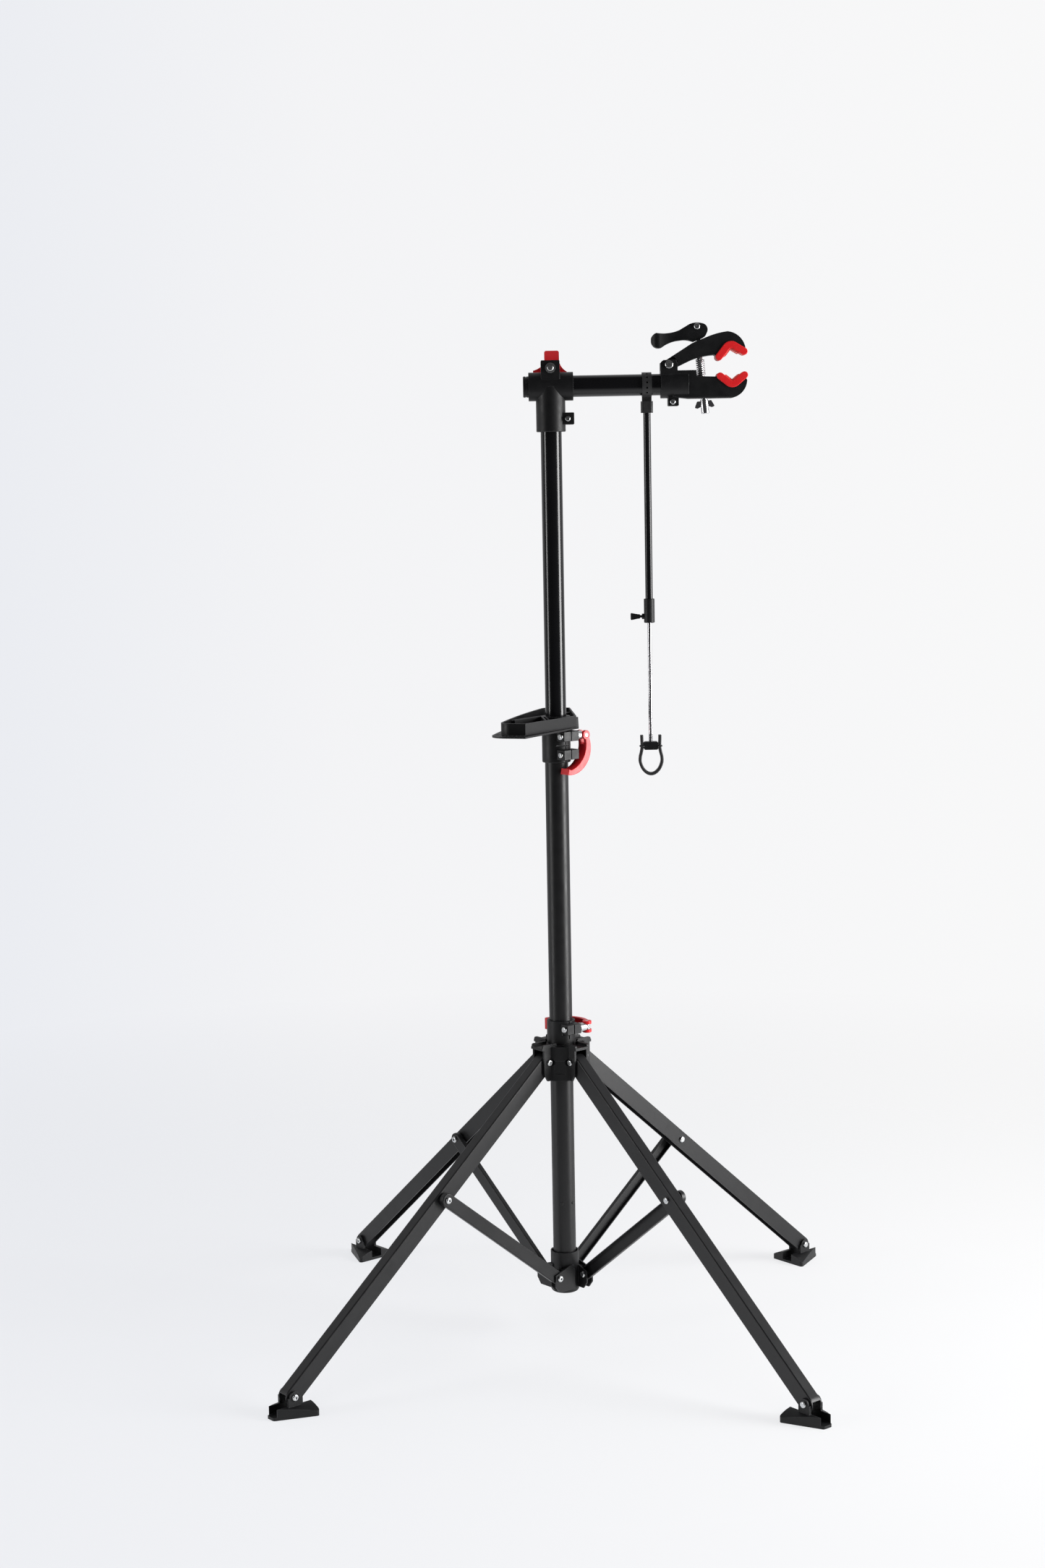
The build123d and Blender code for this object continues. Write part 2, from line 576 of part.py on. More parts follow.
# ---------------------------------------------------------------- leg hub
with BuildPart() as leg_hub:
    with BuildSketch(Plane.XY.offset(HUB_BOTTOM)):
        Circle(HUB_CORE_R)
    extrude(amount=HUB_PLATE - HUB_BOTTOM)
    with BuildSketch(Plane.XY.offset(HUB_BOTTOM)):
        Circle(HUB_COLLAR_R)
    extrude(amount=HUB_TOP - HUB_BOTTOM)
    chamfer(leg_hub.edges().sort_by(Axis.Z)[-1], length=0.8)
    for azimuth in LEG_AZIMUTHS:
        with BuildSketch(side_plane(azimuth, CLEVIS_OUT)):
            with BuildLine():
                Polyline(
                    (12, HUB_BOTTOM), (CLEVIS_REACH - 7, HUB_BOTTOM), (CLEVIS_REACH, HUB_BOTTOM + 12),
                    (CLEVIS_REACH, HUB_PLATE - HUB_PLATE_THICKNESS),
                    (CLEVIS_REACH + 3, HUB_PLATE - HUB_PLATE_THICKNESS),
                    (CLEVIS_REACH + 3, HUB_PLATE), (12, HUB_PLATE), close=True,
                )
            make_face()
        extrude(amount=2 * CLEVIS_OUT)
        for t_high in (CLEVIS_OUT, -CLEVIS_OUT + HUB_RIDGE[0]):
            with BuildSketch(side_plane(azimuth, t_high)) as ridge:
                with Locations(((CLEVIS_REACH + 23) / 2, HUB_PLATE + HUB_RIDGE[1] / 2 - 0.5)):
                    Rectangle(CLEVIS_REACH - 19, HUB_RIDGE[1] + 1)
                fillet(ridge.vertices().group_by(Axis.Y)[-1], radius=3)
            extrude(amount=HUB_RIDGE[0])
    for azimuth in LEG_AZIMUTHS:
        with BuildSketch(side_plane(azimuth, CLEVIS_GAP)):
            with Locations((CLEVIS_ROOT + 20, (HUB_BOTTOM + HUB_PLATE - HUB_PLATE_THICKNESS) / 2)):
                Rectangle(40, HUB_PLATE - HUB_PLATE_THICKNESS - HUB_BOTTOM)
        extrude(amount=2 * CLEVIS_GAP, mode=Mode.SUBTRACT)
        for t_high in (CLEVIS_OUT + 10, -CLEVIS_OUT):
            with BuildSketch(side_plane(azimuth, t_high)):
                with Locations(LEG_PIVOT):
                    Circle(HEAD_RECESS_R)
            extrude(amount=10, mode=Mode.SUBTRACT)
        wall = Plane(
            origin=polar(azimuth + 45, HUB_CORE_R - POCKET[2], 0, POCKET_Z),
            x_dir=polar(azimuth + 45, 0, 1),
            z_dir=polar(azimuth + 45, 1),
        )
        with BuildSketch(wall):
            RectangleRounded(POCKET[0], POCKET[1], 1.5)
        extrude(amount=10, mode=Mode.SUBTRACT)
        with BuildSketch(side_plane(azimuth, 20)):
            with Locations(LEG_PIVOT):
                Circle(BOLT_R + FIT_GAP)
        extrude(amount=40, mode=Mode.SUBTRACT)
    add(clamp_ears(HUB_CLAMP_AZIMUTH, HUB_EAR_HALF, HUB_CLAMP_Z))
    with BuildSketch(Plane.XY.offset(HUB_BOTTOM - 1)):
        Circle(LOWER_TUBE_R + SLIDE_GAP)
    extrude(amount=HUB_TOP - HUB_BOTTOM + 2, mode=Mode.SUBTRACT)
    with BuildSketch(side_plane(HUB_CLAMP_AZIMUTH, CLAMP_SLOT)):
        with Locations((28, HUB_TOP - 12)):
            Rectangle(30, 32)
    extrude(amount=2 * CLAMP_SLOT, mode=Mode.SUBTRACT)
    with BuildSketch(side_plane(HUB_CLAMP_AZIMUTH, 11)):
        with Locations((26, HUB_CLAMP_Z - EAR_HEIGHT / 2 - 2)):
            Rectangle(20, 1.6)
    extrude(amount=22, mode=Mode.SUBTRACT)
keep(leg_hub.part, "leg_hub")

hub_bolts = [cross_bolt(azimuth, LEG_PIVOT, -CLEVIS_OUT, CLEVIS_OUT) for azimuth in LEG_AZIMUTHS]
keep(Compound(children=hub_bolts), "leg_hub_bolts")

hub_bolt_plane = Plane(
    origin=polar(HUB_CLAMP_AZIMUTH, CLAMP_BOLT_RADIUS, CAM_PIVOT, HUB_CLAMP_Z),
    x_dir=(0, 0, 1),
    z_dir=polar(HUB_CLAMP_AZIMUTH, 0, 1),
)
keep(
    cam_bolt(hub_bolt_plane, HUB_EAR_HALF - CAM_PIVOT, -HUB_EAR_HALF - CAM_PIVOT, (0, 0, 1)),
    "hub_cam_bolt",
)
hub_lever_plane = Plane(
    origin=hub_bolt_plane.origin, x_dir=polar(HUB_CLAMP_AZIMUTH, 0, 1), z_dir=(0, 0, 1)
)
keep(crescent_lever(hub_lever_plane, HUB_LEVER_DEPTH), "hub_lever")

# ---------------------------------------------------------------- legs, struts and feet


def make_foot(azimuth):
    """Moulded foot: trapezoid in plan, arched across, slotted for the leg, with two bolt ears."""
    across = Plane(
        origin=polar(azimuth, FOOT_INNER - 1), x_dir=polar(azimuth, 0, 1), z_dir=polar(azimuth, 1)
    )
    with BuildPart() as foot:
        with BuildSketch(Plane(origin=(0, 0, 0), x_dir=polar(azimuth, 1), z_dir=(0, 0, 1))) as plan:
            with BuildLine():
                Polyline(
                    (FOOT_INNER, -FOOT_HALVES[0]), (FOOT_OUTER, -FOOT_HALVES[1]),
                    (FOOT_OUTER, FOOT_HALVES[1]), (FOOT_INNER, FOOT_HALVES[0]), close=True,
                )
            make_face()
            fillet(plan.vertices(), radius=4)
        extrude(amount=FOOT_TOP)
        with BuildSketch(across):
            with BuildLine():
                low = (-FOOT_HALVES[0] - 1, FOOT_EDGE)
                high = (FOOT_HALVES[0] + 1, FOOT_EDGE)
                Polyline(low, (low[0], 0), (high[0], 0), high)
                ThreePointArc(high, (0, FOOT_TOP), low)
            make_face()
        extrude(amount=FOOT_OUTER - FOOT_INNER + 2, mode=Mode.INTERSECT)
        for t_high in (CLEVIS_OUT, -FOOT_SLOT):
            with BuildSketch(side_plane(azimuth, t_high)):
                with Locations(FOOT_PIVOT):
                    Circle(FOOT_EAR_R)
                with Locations((FOOT_PIVOT[0], FOOT_PIVOT[1] / 2 + 4)):
                    Rectangle(2 * FOOT_EAR_R + 4, FOOT_PIVOT[1] - 8)
            extrude(amount=CLEVIS_OUT - FOOT_SLOT)
        with BuildSketch(side_plane(azimuth, FOOT_SLOT)):
            with Locations(((FOOT_INNER + FOOT_OUTER) / 2, FOOT_SLOT_FLOOR + 30)):
                Rectangle(80, 60)
        extrude(amount=2 * FOOT_SLOT, mode=Mode.SUBTRACT)
        with BuildSketch(side_plane(azimuth, 20)):
            with Locations(FOOT_PIVOT):
                Circle(BOLT_R + FIT_GAP)
        extrude(amount=40, mode=Mode.SUBTRACT)
    return foot.part


def make_leg(azimuth):
    """Leg channel with holes for its pivot, the strut bolt stub and the foot bolt."""
    channel = channel_bar(
        azimuth, LEG_PIVOT, LEG_DIRECTION, LEG_LENGTH, LEG_HALF, LEG_OUTER, LEG_INNER, LEG_END_R, SHEET
    )
    with BuildPart() as leg:
        add(channel)
        with BuildSketch(bar_side_plane(azimuth, LEG_PIVOT, LEG_DIRECTION)):
            with Locations((0, 0), (LEG_TO_STRUT, 0), (LEG_LENGTH, 0)):
                Circle(BOLT_R + FIT_GAP)
        extrude(amount=20, both=True, mode=Mode.SUBTRACT)
    return leg.part


def make_strut(azimuth):
    """Strut channel on the anticlockwise side of its leg, web outwards."""
    with BuildPart() as strut:
        side = bar_side_plane(azimuth, STRUT_PIVOT, (-STRUT_R, -STRUT_Z), STRUT_OUTER_T)
        with BuildSketch(side):
            with Locations((STRUT_LENGTH / 2, 0)):
                SlotCenterToCenter(STRUT_LENGTH, 2 * STRUT_HALF)
        extrude(amount=STRUT_OUTER_T - STRUT_INNER_T)
        outer_rim = strut.faces().sort_by(Axis((0, 0, 0), polar(azimuth, 0, 1)))[-1].edges()
        fillet(outer_rim, radius=1.5)
        with BuildSketch(side.offset(SHEET)):
            with Locations((STRUT_LENGTH / 2, 0)):
                SlotCenterToCenter(STRUT_LENGTH, 2 * (STRUT_HALF - SHEET))
        extrude(amount=STRUT_OUTER_T, mode=Mode.SUBTRACT)
        with BuildSketch(side):
            with Locations((0, 0), (STRUT_LENGTH, 0)):
                Circle(BOLT_R + FIT_GAP)
        extrude(amount=20, both=True, mode=Mode.SUBTRACT)
    return strut.part


def make_spacer(azimuth):
    """Bush on the strut bolt between the strut's web and the leg."""
    with BuildPart() as spacer:
        with BuildSketch(side_plane(azimuth, STRUT_OUTER_T - SHEET - 0.05)):
            with Locations(STRUT_TOP):
                Circle(SPACER_R)
                Circle(BOLT_R + FIT_GAP, mode=Mode.SUBTRACT)
        extrude(amount=STRUT_OUTER_T - SHEET - 0.05 - LEG_HALF - OPEN_PIVOT_GAP)
    return spacer.part


def make_strut_bolt(azimuth):
    """Strut bolt: button head outside the strut, shank that stops just short of the leg."""
    with BuildPart() as bolt:
        with BuildSketch(side_plane(azimuth, STRUT_OUTER_T)):
            with Locations(STRUT_TOP):
                Circle(BOLT_R)
        extrude(amount=STRUT_OUTER_T - LEG_HALF - OPEN_PIVOT_GAP)
        with BuildSketch(side_plane(azimuth, STRUT_OUTER_T + HEAD_H)):
            with Locations(STRUT_TOP):
                Circle(HEAD_R)
        extrude(amount=HEAD_H)
        rims = bolt.edges().filter_by(GeomType.CIRCLE).sort_by(Axis((0, 0, 0), polar(azimuth, 0, 1)))
        fillet(rims[-1], radius=HEAD_H * 0.6)
        with BuildSketch(side_plane(azimuth, STRUT_OUTER_T + HEAD_H)):
            with Locations(STRUT_TOP):
                RegularPolygon(SOCKET_R, 6)
        extrude(amount=SOCKET_DEPTH, mode=Mode.SUBTRACT)
    return bolt.part


def make_leg_bolts(azimuth):
    """Foot bolt and the nut end of the strut bolt, both carried by the leg."""
    with BuildPart() as nut:
        with BuildSketch(side_plane(azimuth, -LEG_HALF + SHEET)):
            with Locations(STRUT_TOP):
                Circle(BOLT_R)
        extrude(amount=SHEET)
        with BuildSketch(side_plane(azimuth, -LEG_HALF)):
            with Locations(STRUT_TOP):
                Circle(HEAD_R)
        extrude(amount=HEAD_H)
        rims = nut.edges().filter_by(GeomType.CIRCLE).sort_by(Axis((0, 0, 0), polar(azimuth, 0, 1)))
        fillet(rims[0], radius=HEAD_H * 0.6)
    foot_bolt = cross_bolt(azimuth, FOOT_PIVOT, -CLEVIS_OUT - FIT_GAP, CLEVIS_OUT + FIT_GAP)
    return Compound(children=[nut.part, foot_bolt])


for index, azimuth in enumerate(LEG_AZIMUTHS, start=1):
    keep(make_leg(azimuth), f"leg_{index}")
    keep(make_foot(azimuth), f"foot_{index}")
    keep(make_leg_bolts(azimuth), f"leg_bolts_{index}")
    keep(make_strut(azimuth), f"strut_{index}")
    keep(make_spacer(azimuth), f"strut_spacer_{index}")
    keep(make_strut_bolt(azimuth), f"strut_bolt_{index}")

# ---------------------------------------------------------------- mast: upper tube and T-shaped head
with BuildPart() as upper_tube:
    with BuildSketch(Plane.XY.offset(UPPER_TUBE_BOTTOM)):
        Circle(UPPER_TUBE_R)
        Circle(UPPER_TUBE_R - TUBE_WALL, mode=Mode.SUBTRACT)
    extrude(amount=UPPER_TUBE_TOP - UPPER_TUBE_BOTTOM)
keep(upper_tube.part, "upper_tube")

with BuildPart() as tee_head:
    with BuildSketch(Plane.XY.offset(HEAD_SLEEVE_BOTTOM)):
        Circle(HEAD_SLEEVE_R)
    extrude(amount=ARM_Z - HEAD_SLEEVE_BOTTOM)
    chamfer(tee_head.edges().sort_by(Axis.Z)[0], length=0.8)
    with BuildSketch(end_plane(BARREL_START)):
        with Locations((0, ARM_Z)):
            Circle(BARREL_R)
    extrude(amount=BARREL_END - BARREL_START)
    with BuildSketch(front_plane(-HEAD_BLOCK_HALF_Y)):
        with Locations((0, (HEAD_BLOCK_TOP + ARM_Z) / 2)):
            Rectangle(2 * HEAD_BLOCK_HALF_X, HEAD_BLOCK_TOP - ARM_Z)
    extrude(amount=-2 * HEAD_BLOCK_HALF_Y)
    with BuildSketch(front_plane(-14)):
        with Locations(((TEE_LUG[0] + TEE_LUG[1]) / 2, (TEE_LUG[2] + TEE_LUG[3]) / 2)):
            Rectangle(TEE_LUG[1] - TEE_LUG[0], TEE_LUG[3] - TEE_LUG[2])
    extrude(amount=-28)
    lug_edges = tee_head.edges().filter_by(Axis.Y).sort_by(Axis.X)[-2:]
    block_edges = tee_head.edges().filter_by(Axis.Y).group_by(Axis.Z)[-1]
    fillet(lug_edges + block_edges, radius=1.5)
    with BuildSketch(Plane.XY.offset(HEAD_SLEEVE_BOTTOM - 1)):
        Circle(UPPER_TUBE_R + FIT_GAP)
    extrude(amount=UPPER_TUBE_TOP + 1 - HEAD_SLEEVE_BOTTOM, mode=Mode.SUBTRACT)
    with BuildSketch(end_plane(BARREL_START - 1)):
        with Locations((0, ARM_Z)):
            Circle(ARM_R + SLIDE_GAP)
    extrude(amount=BARREL_END - BARREL_START + 2, mode=Mode.SUBTRACT)
    with BuildSketch(Plane.XY.offset(ARM_Z + 10)):
        Rectangle(100, 2)
    extrude(amount=40, mode=Mode.SUBTRACT)
    with BuildSketch(Plane.XY.offset(HEAD_SLEEVE_BOTTOM - 1)):
        with Locations((30, 0)):
            Rectangle(40, 2)
    extrude(amount=TEE_LUG[3] + 3 - HEAD_SLEEVE_BOTTOM, mode=Mode.SUBTRACT)
    with BuildSketch(front_plane(-30)):
        with Locations((0, HEAD_BOLT_Z)):
            Circle(BOLT_R + 0.1)
        with Locations(TEE_SCREW):
            Circle(2.6)
    extrude(amount=-60, mode=Mode.SUBTRACT)
keep(tee_head.part, "tee_head")

tee_screw = cross_bolt(0, TEE_SCREW, -14, 14, 2.5, 4.2).mirror(Plane.XZ)
head_bolt_plane = Plane(origin=(0, HEAD_CAM_Y, HEAD_BOLT_Z), x_dir=(0, 0, 1), z_dir=(0, 1, 0))
head_bolt = cam_bolt(
    head_bolt_plane, HEAD_BLOCK_HALF_Y - HEAD_CAM_Y, -HEAD_BLOCK_HALF_Y - 1.2 - HEAD_CAM_Y, (1, 0, 0)
)
with BuildPart() as head_nut:
    with BuildSketch(front_plane(-HEAD_BLOCK_HALF_Y)):
        with Locations((0, HEAD_BOLT_Z)):
            Circle(7.6)
            Circle(BOLT_R + 0.1, mode=Mode.SUBTRACT)
    extrude(amount=1.1)
    with BuildSketch(front_plane(-HEAD_BLOCK_HALF_Y - 1.1)):
        with Locations((0, HEAD_BOLT_Z)):
            RegularPolygon(7.2, 6)
            Circle(5.1, mode=Mode.SUBTRACT)
    extrude(amount=2.6)
keep(Compound(children=[head_bolt, head_nut.part, tee_screw]), "tee_bolts")

with BuildPart() as head_lever:
    with BuildSketch(front_plane(HEAD_CAM_Y - 10)):
        with BuildLine():
            left_low = (-25, HEAD_BOLT_Z - 7.1)
            right_low = (25, HEAD_BOLT_Z - 7.1)
            Line(left_low, right_low)
            Line(right_low, (25, HEAD_BOLT_Z - 4))
            ThreePointArc((25, HEAD_BOLT_Z - 4), (17.4, HEAD_BOLT_Z + 3), (14, HEAD_BOLT_Z + 12))
            Line((14, HEAD_BOLT_Z + 12), (14, 1500))
            Line((14, 1500), (-8, 1500))
            Line((-8, 1500), (-8, HEAD_BOLT_Z + 9))
            ThreePointArc((-8, HEAD_BOLT_Z + 9), (-14, HEAD_BOLT_Z + 3), (-25, HEAD_BOLT_Z - 2))
            Line((-25, HEAD_BOLT_Z - 2), left_low)
        make_face()
    extrude(amount=-24)
    with BuildSketch(Plane.YZ.offset(-30)):
        with BuildLine():
            ThreePointArc((HEAD_CAM_Y - 4, HEAD_BOLT_Z + 4), (HEAD_CAM_Y - 3, 1490), (HEAD_CAM_Y + 2, 1501))
            Line((HEAD_CAM_Y + 2, 1501), (HEAD_CAM_Y + 8, 1501))
            ThreePointArc((HEAD_CAM_Y + 8, 1501), (HEAD_CAM_Y + 4, 1487), (HEAD_CAM_Y + 6, HEAD_BOLT_Z))
            Line((HEAD_CAM_Y + 6, HEAD_BOLT_Z), (HEAD_CAM_Y - 4, HEAD_BOLT_Z + 4))
        make_face()
        with Locations((HEAD_CAM_Y, HEAD_BOLT_Z)):
            Circle(CAM_R)
    extrude(amount=60, mode=Mode.INTERSECT)
    fillet(head_lever.edges().filter_by(Axis.Y).group_by(Axis.Z)[-1], radius=3)
    with BuildSketch(Plane.YZ.offset(-FORK_HALF)):
        with Locations((HEAD_CAM_Y - 2, HEAD_BOLT_Z - 2)):
            Rectangle(20, 20)
    extrude(amount=2 * FORK_HALF, mode=Mode.SUBTRACT)
    with BuildSketch(Plane.YZ.offset(-30)):
        with Locations((HEAD_CAM_Y, HEAD_BOLT_Z)):
            Circle(PIN_R + FIT_GAP)
    extrude(amount=60, mode=Mode.SUBTRACT)
keep(head_lever.part, "head_lever")

# ---------------------------------------------------------------- arm, end cap and lower jaw
with BuildPart() as arm_tube:
    with BuildSketch(end_plane(ARM_START)):
        with Locations((0, ARM_Z)):
            Circle(ARM_R)
            Circle(ARM_R - TUBE_WALL, mode=Mode.SUBTRACT)
    extrude(amount=ARM_END - ARM_START)
keep(arm_tube.part, "arm_tube")

with BuildPart() as arm_end_cap:
    with BuildSketch(end_plane(ARM_START)):
        with Locations((0, ARM_Z)):
            Circle(ARM_R - 0.2)
    extrude(amount=-7.5)
    fillet(arm_end_cap.edges().sort_by(Axis.X)[0], radius=1.5)
    with BuildSketch(end_plane(ARM_START - 2.4)):
        with Locations((0, ARM_Z)):
            Circle(ARM_R + 1)
            Circle(ARM_R - 1.1, mode=Mode.SUBTRACT)
    extrude(amount=-1.2, mode=Mode.SUBTRACT)
    with BuildSketch(end_plane(ARM_START)):
        with Locations((0, ARM_Z)):
            Circle(ARM_R - TUBE_WALL - FIT_GAP)
    extrude(amount=14)
keep(arm_end_cap.part, "arm_end_cap")


draw_plane = Plane(
    origin=(CAM_PIN[0], 0, CAM_PIN[1]),
    x_dir=(0, 1, 0),
    z_dir=(sin(radians(DRAW_TILT)), 0, -cos(radians(DRAW_TILT))),
)

with BuildPart() as jaw_body:
    with BuildSketch(end_plane(SLEEVE_START)):
        with Locations((0, ARM_Z)):
            Circle(SLEEVE_R)
    extrude(amount=SLEEVE_END - SLEEVE_START)
    with BuildSketch(front_plane(-JAW_HALF)):
        with BuildLine():
            Polyline(
                (SLEEVE_START + 18, JAW_BOTTOM + 3), (SLEEVE_END, JAW_BOTTOM), (268, JAW_BOTTOM)
            )
            ThreePointArc((268, JAW_BOTTOM), (284, 1433.5), (290.5, 1450))
            Polyline(
                (290.5, 1450), LOWER_PAD[2], LOWER_PAD[1], LOWER_PAD[0], (244, JAW_TOP),
                (RIB_END + 1, JAW_TOP + 1), (RIB_END, RIB_TOP), (SLEEVE_START + 18, RIB_TOP),
                (SLEEVE_START + 18, JAW_BOTTOM + 3),
            )
        make_face()
    extrude(amount=-2 * JAW_HALF)
    long_edges = jaw_body.edges().filter_by(Axis.X).filter_by(lambda e: e.center().X > 210)
    fillet(long_edges.group_by(Axis.Z)[0], radius=3)
    with BuildSketch(front_plane(-JAW_HALF)):
        with BuildLine():
            Polyline(
                (SLEEVE_START, ARM_Z + 8), (SLEEVE_START, JAW_EAR_TOP - 4),
                (SLEEVE_START + 4, JAW_EAR_TOP), (JAW_EAR_END - 2.2, JAW_EAR_TOP),
                (JAW_EAR_END, JAW_EAR_TOP - 5), (JAW_EAR_END, ARM_Z + 8), close=True,
            )
        make_face()
    extrude(amount=-2 * JAW_HALF)
    with BuildSketch(front_plane(-TONGUE_HALF - 0.4)):
        with Locations(((SLEEVE_START + JAW_EAR_END) / 2, RIB_TOP + 10)):
            Rectangle(30, 20)
    extrude(amount=-2 * TONGUE_HALF - 0.8, mode=Mode.SUBTRACT)
    with BuildSketch(front_plane(-12)):
        with Locations(((JAW_LUG[0] + JAW_LUG[1]) / 2, (JAW_LUG[2] + ARM_Z - 8) / 2)):
            Rectangle(JAW_LUG[1] - JAW_LUG[0], ARM_Z - 8 - JAW_LUG[2])
    extrude(amount=-24)
    fillet(jaw_body.edges().filter_by(Axis.Y).group_by(Axis.Z)[0], radius=1.5)
    with BuildSketch(end_plane(SLEEVE_START - 1)):
        with Locations((0, ARM_Z)):
            Circle(ARM_R + FIT_GAP)
    extrude(amount=ARM_END + 0.5 - SLEEVE_START + 1, mode=Mode.SUBTRACT)
    with BuildSketch(Plane.XY.offset(JAW_LUG[2] - 1)):
        with Locations(((SLEEVE_START + ARM_END) / 2 - 1, 0)):
            Rectangle(ARM_END - SLEEVE_START, 2)
    extrude(amount=ARM_Z - ARM_R + 2 - JAW_LUG[2], mode=Mode.SUBTRACT)
    with BuildSketch(front_plane(-30)):
        with Locations(JAW_PIVOT):
            Circle(4 + FIT_GAP)
        with Locations(JAW_SCREW):
            Circle(2.6)
    extrude(amount=-60, mode=Mode.SUBTRACT)
    with BuildSketch(draw_plane):
        Circle(DRAW_R + SLIDE_GAP)
    extrude(amount=140, mode=Mode.SUBTRACT)
    add(chevron(LOWER_PAD, PAD_HALF + 1), mode=Mode.SUBTRACT)
keep(jaw_body.part, "lower_jaw")

with BuildPart() as lower_pad:
    add(chevron(LOWER_PAD, PAD_HALF))
    fillet(lower_pad.faces().sort_by(Axis.Y)[0].edges(), radius=1.2)
    fillet(lower_pad.faces().sort_by(Axis.Y)[-1].edges(), radius=1.2)
    add(grip_ribs(LOWER_PAD, 1, PAD_HALF - 2.5))
keep(lower_pad.part, "lower_pad")

pivot_bolt = cross_bolt(0, JAW_PIVOT, -JAW_HALF, JAW_HALF, 4.0, 6.2).mirror(Plane.XZ)
pinch_screw = cross_bolt(0, JAW_SCREW, -12, 12, 2.5, 4.2).mirror(Plane.XZ)
keep(Compound(children=[pivot_bolt, pinch_screw]), "jaw_bolts")

# ---------------------------------------------------------------- upper jaw and pad

with BuildPart() as upper_jaw:
    with BuildSketch(front_plane(-TONGUE_HALF)) as jaw_profile:
        with BuildLine():
            Polyline((170.2, 1480.8), *UPPER_JAW_TOP)
            ThreePointArc(UPPER_JAW_TOP[2], (249, 1519.4), (262, 1521.6))
            ThreePointArc((262, 1521.6), (280, 1513), (288.5, 1495))
            Polyline((288.5, 1495), UPPER_PAD[2], UPPER_PAD[1], UPPER_PAD[0], (241.9, 1487.7))
            ThreePointArc((241.9, 1487.7), (222, 1484.9), (207, 1480.1))
            Polyline((207, 1480.1), (188.9, 1471.7), (179, 1468.4), (170.2, 1480.8))
        make_face()
        with Locations(JAW_PIVOT):
            Circle(7.8)
    extrude(amount=-2 * TONGUE_HALF)
    with BuildSketch(front_plane(-JAW_HALF)):
        add(jaw_profile.sketch_local)
        with Locations(JAW_PIVOT):
            Circle(EAR_CLEAR_R, mode=Mode.SUBTRACT)
    extrude(amount=-2 * JAW_HALF)
    with BuildSketch(front_plane(-30)):
        with Locations(JAW_PIVOT):
            Circle(4 + FIT_GAP)
    extrude(amount=-60, mode=Mode.SUBTRACT)
    with BuildSketch(Plane.XY.offset(1470)):
        with Locations((222.8, 0)):
            Rectangle(19, 2 * DRAW_R + 0.8)
    extrude(amount=60, mode=Mode.SUBTRACT)
    add(chevron(UPPER_PAD, PAD_HALF + 1), mode=Mode.SUBTRACT)
keep(upper_jaw.part, "upper_jaw")

with BuildPart() as upper_pad:
    add(chevron(UPPER_PAD, PAD_HALF))
    fillet(upper_pad.faces().sort_by(Axis.Y)[0].edges(), radius=1.2)
    fillet(upper_pad.faces().sort_by(Axis.Y)[-1].edges(), radius=1.2)
    add(grip_ribs(UPPER_PAD, -1, PAD_HALF - 2.5))
keep(upper_pad.part, "upper_pad")

# ---------------------------------------------------------------- draw bolt, cam lever, spring, wing nut
with BuildPart() as draw_bolt:
    with BuildSketch(draw_plane):
        Circle(DRAW_R)
    extrude(amount=DRAW_LENGTH)
    with BuildSketch(front_plane(-FORK_HALF)):
        with Locations(CAM_PIN):
            Circle(EYE_R)
    extrude(amount=-2 * FORK_HALF)
    with BuildSketch(front_plane(-FORK_HALF - 1)):
        with Locations(CAM_PIN):
            Circle(BOLT_R + FIT_GAP)
    extrude(amount=-2 * FORK_HALF - 2, mode=Mode.SUBTRACT)
keep(draw_bolt.part, "draw_bolt")

keep(cross_bolt(0, CAM_PIN, -LEVER_HALF - 0.1, LEVER_HALF + 0.1, BOLT_R, 4.6).mirror(Plane.XZ), "cam_pin")

with BuildPart() as cam_lever:
    with BuildSketch(front_plane(-LEVER_HALF)):
        with BuildLine():
            ThreePointArc((206.3, 1533.2), (216, 1535.2), (224.5, 1534.2))
            ThreePointArc((224.5, 1534.2), (231.8, 1529.3), (232.2, 1521.0))
            Line((232.2, 1521.0), (229.6, 1515.6))
            ThreePointArc((229.6, 1515.6), (227.0, 1513.4), (224.2, 1512.1))
            Line((224.2, 1512.1), (212.2, 1507.6))
            ThreePointArc((212.2, 1507.6), (203.6, 1509.9), (191.1, 1509.6))
            ThreePointArc((191.1, 1509.6), (177.0, 1506.4), (165.5, 1500.0))
            ThreePointArc((165.5, 1500.0), (150.9, 1504.5), (157.2, 1521.2))
            ThreePointArc((157.2, 1521.2), (178.2, 1521.1), (191.1, 1524.6))
            Line((191.1, 1524.6), (206.3, 1533.2))
        make_face()
    extrude(amount=-2 * LEVER_HALF)
    with BuildSketch(Plane.XY.offset(1490)):
        with BuildLine():
            ThreePointArc((163, 9.5), (149.5, 0), (163, -9.5))
            ThreePointArc((163, -9.5), (185, -6.8), (204, -LEVER_HALF))
            Polyline((204, -LEVER_HALF), (240, -LEVER_HALF), (240, LEVER_HALF), (204, LEVER_HALF))
            ThreePointArc((204, LEVER_HALF), (185, 6.8), (163, 9.5))
        make_face()
    extrude(amount=60, mode=Mode.INTERSECT)
    with BuildSketch(front_plane(-FORK_HALF - 0.4)):
        with Locations(CAM_PIN):
            Circle(13)
        with Locations((CAM_PIN[0] + 4, CAM_PIN[1] - 12)):
            Rectangle(30, 24)
        with Locations((CAM_PIN[0] + 10, CAM_PIN[1])):
            Rectangle(24, 26)
    extrude(amount=-2 * FORK_HALF - 0.8, mode=Mode.SUBTRACT)
    with BuildSketch(front_plane(-30)):
        with Locations(CAM_PIN):
            Circle(BOLT_R + FIT_GAP)
    extrude(amount=-60, mode=Mode.SUBTRACT)
keep(cam_lever.part, "cam_lever")

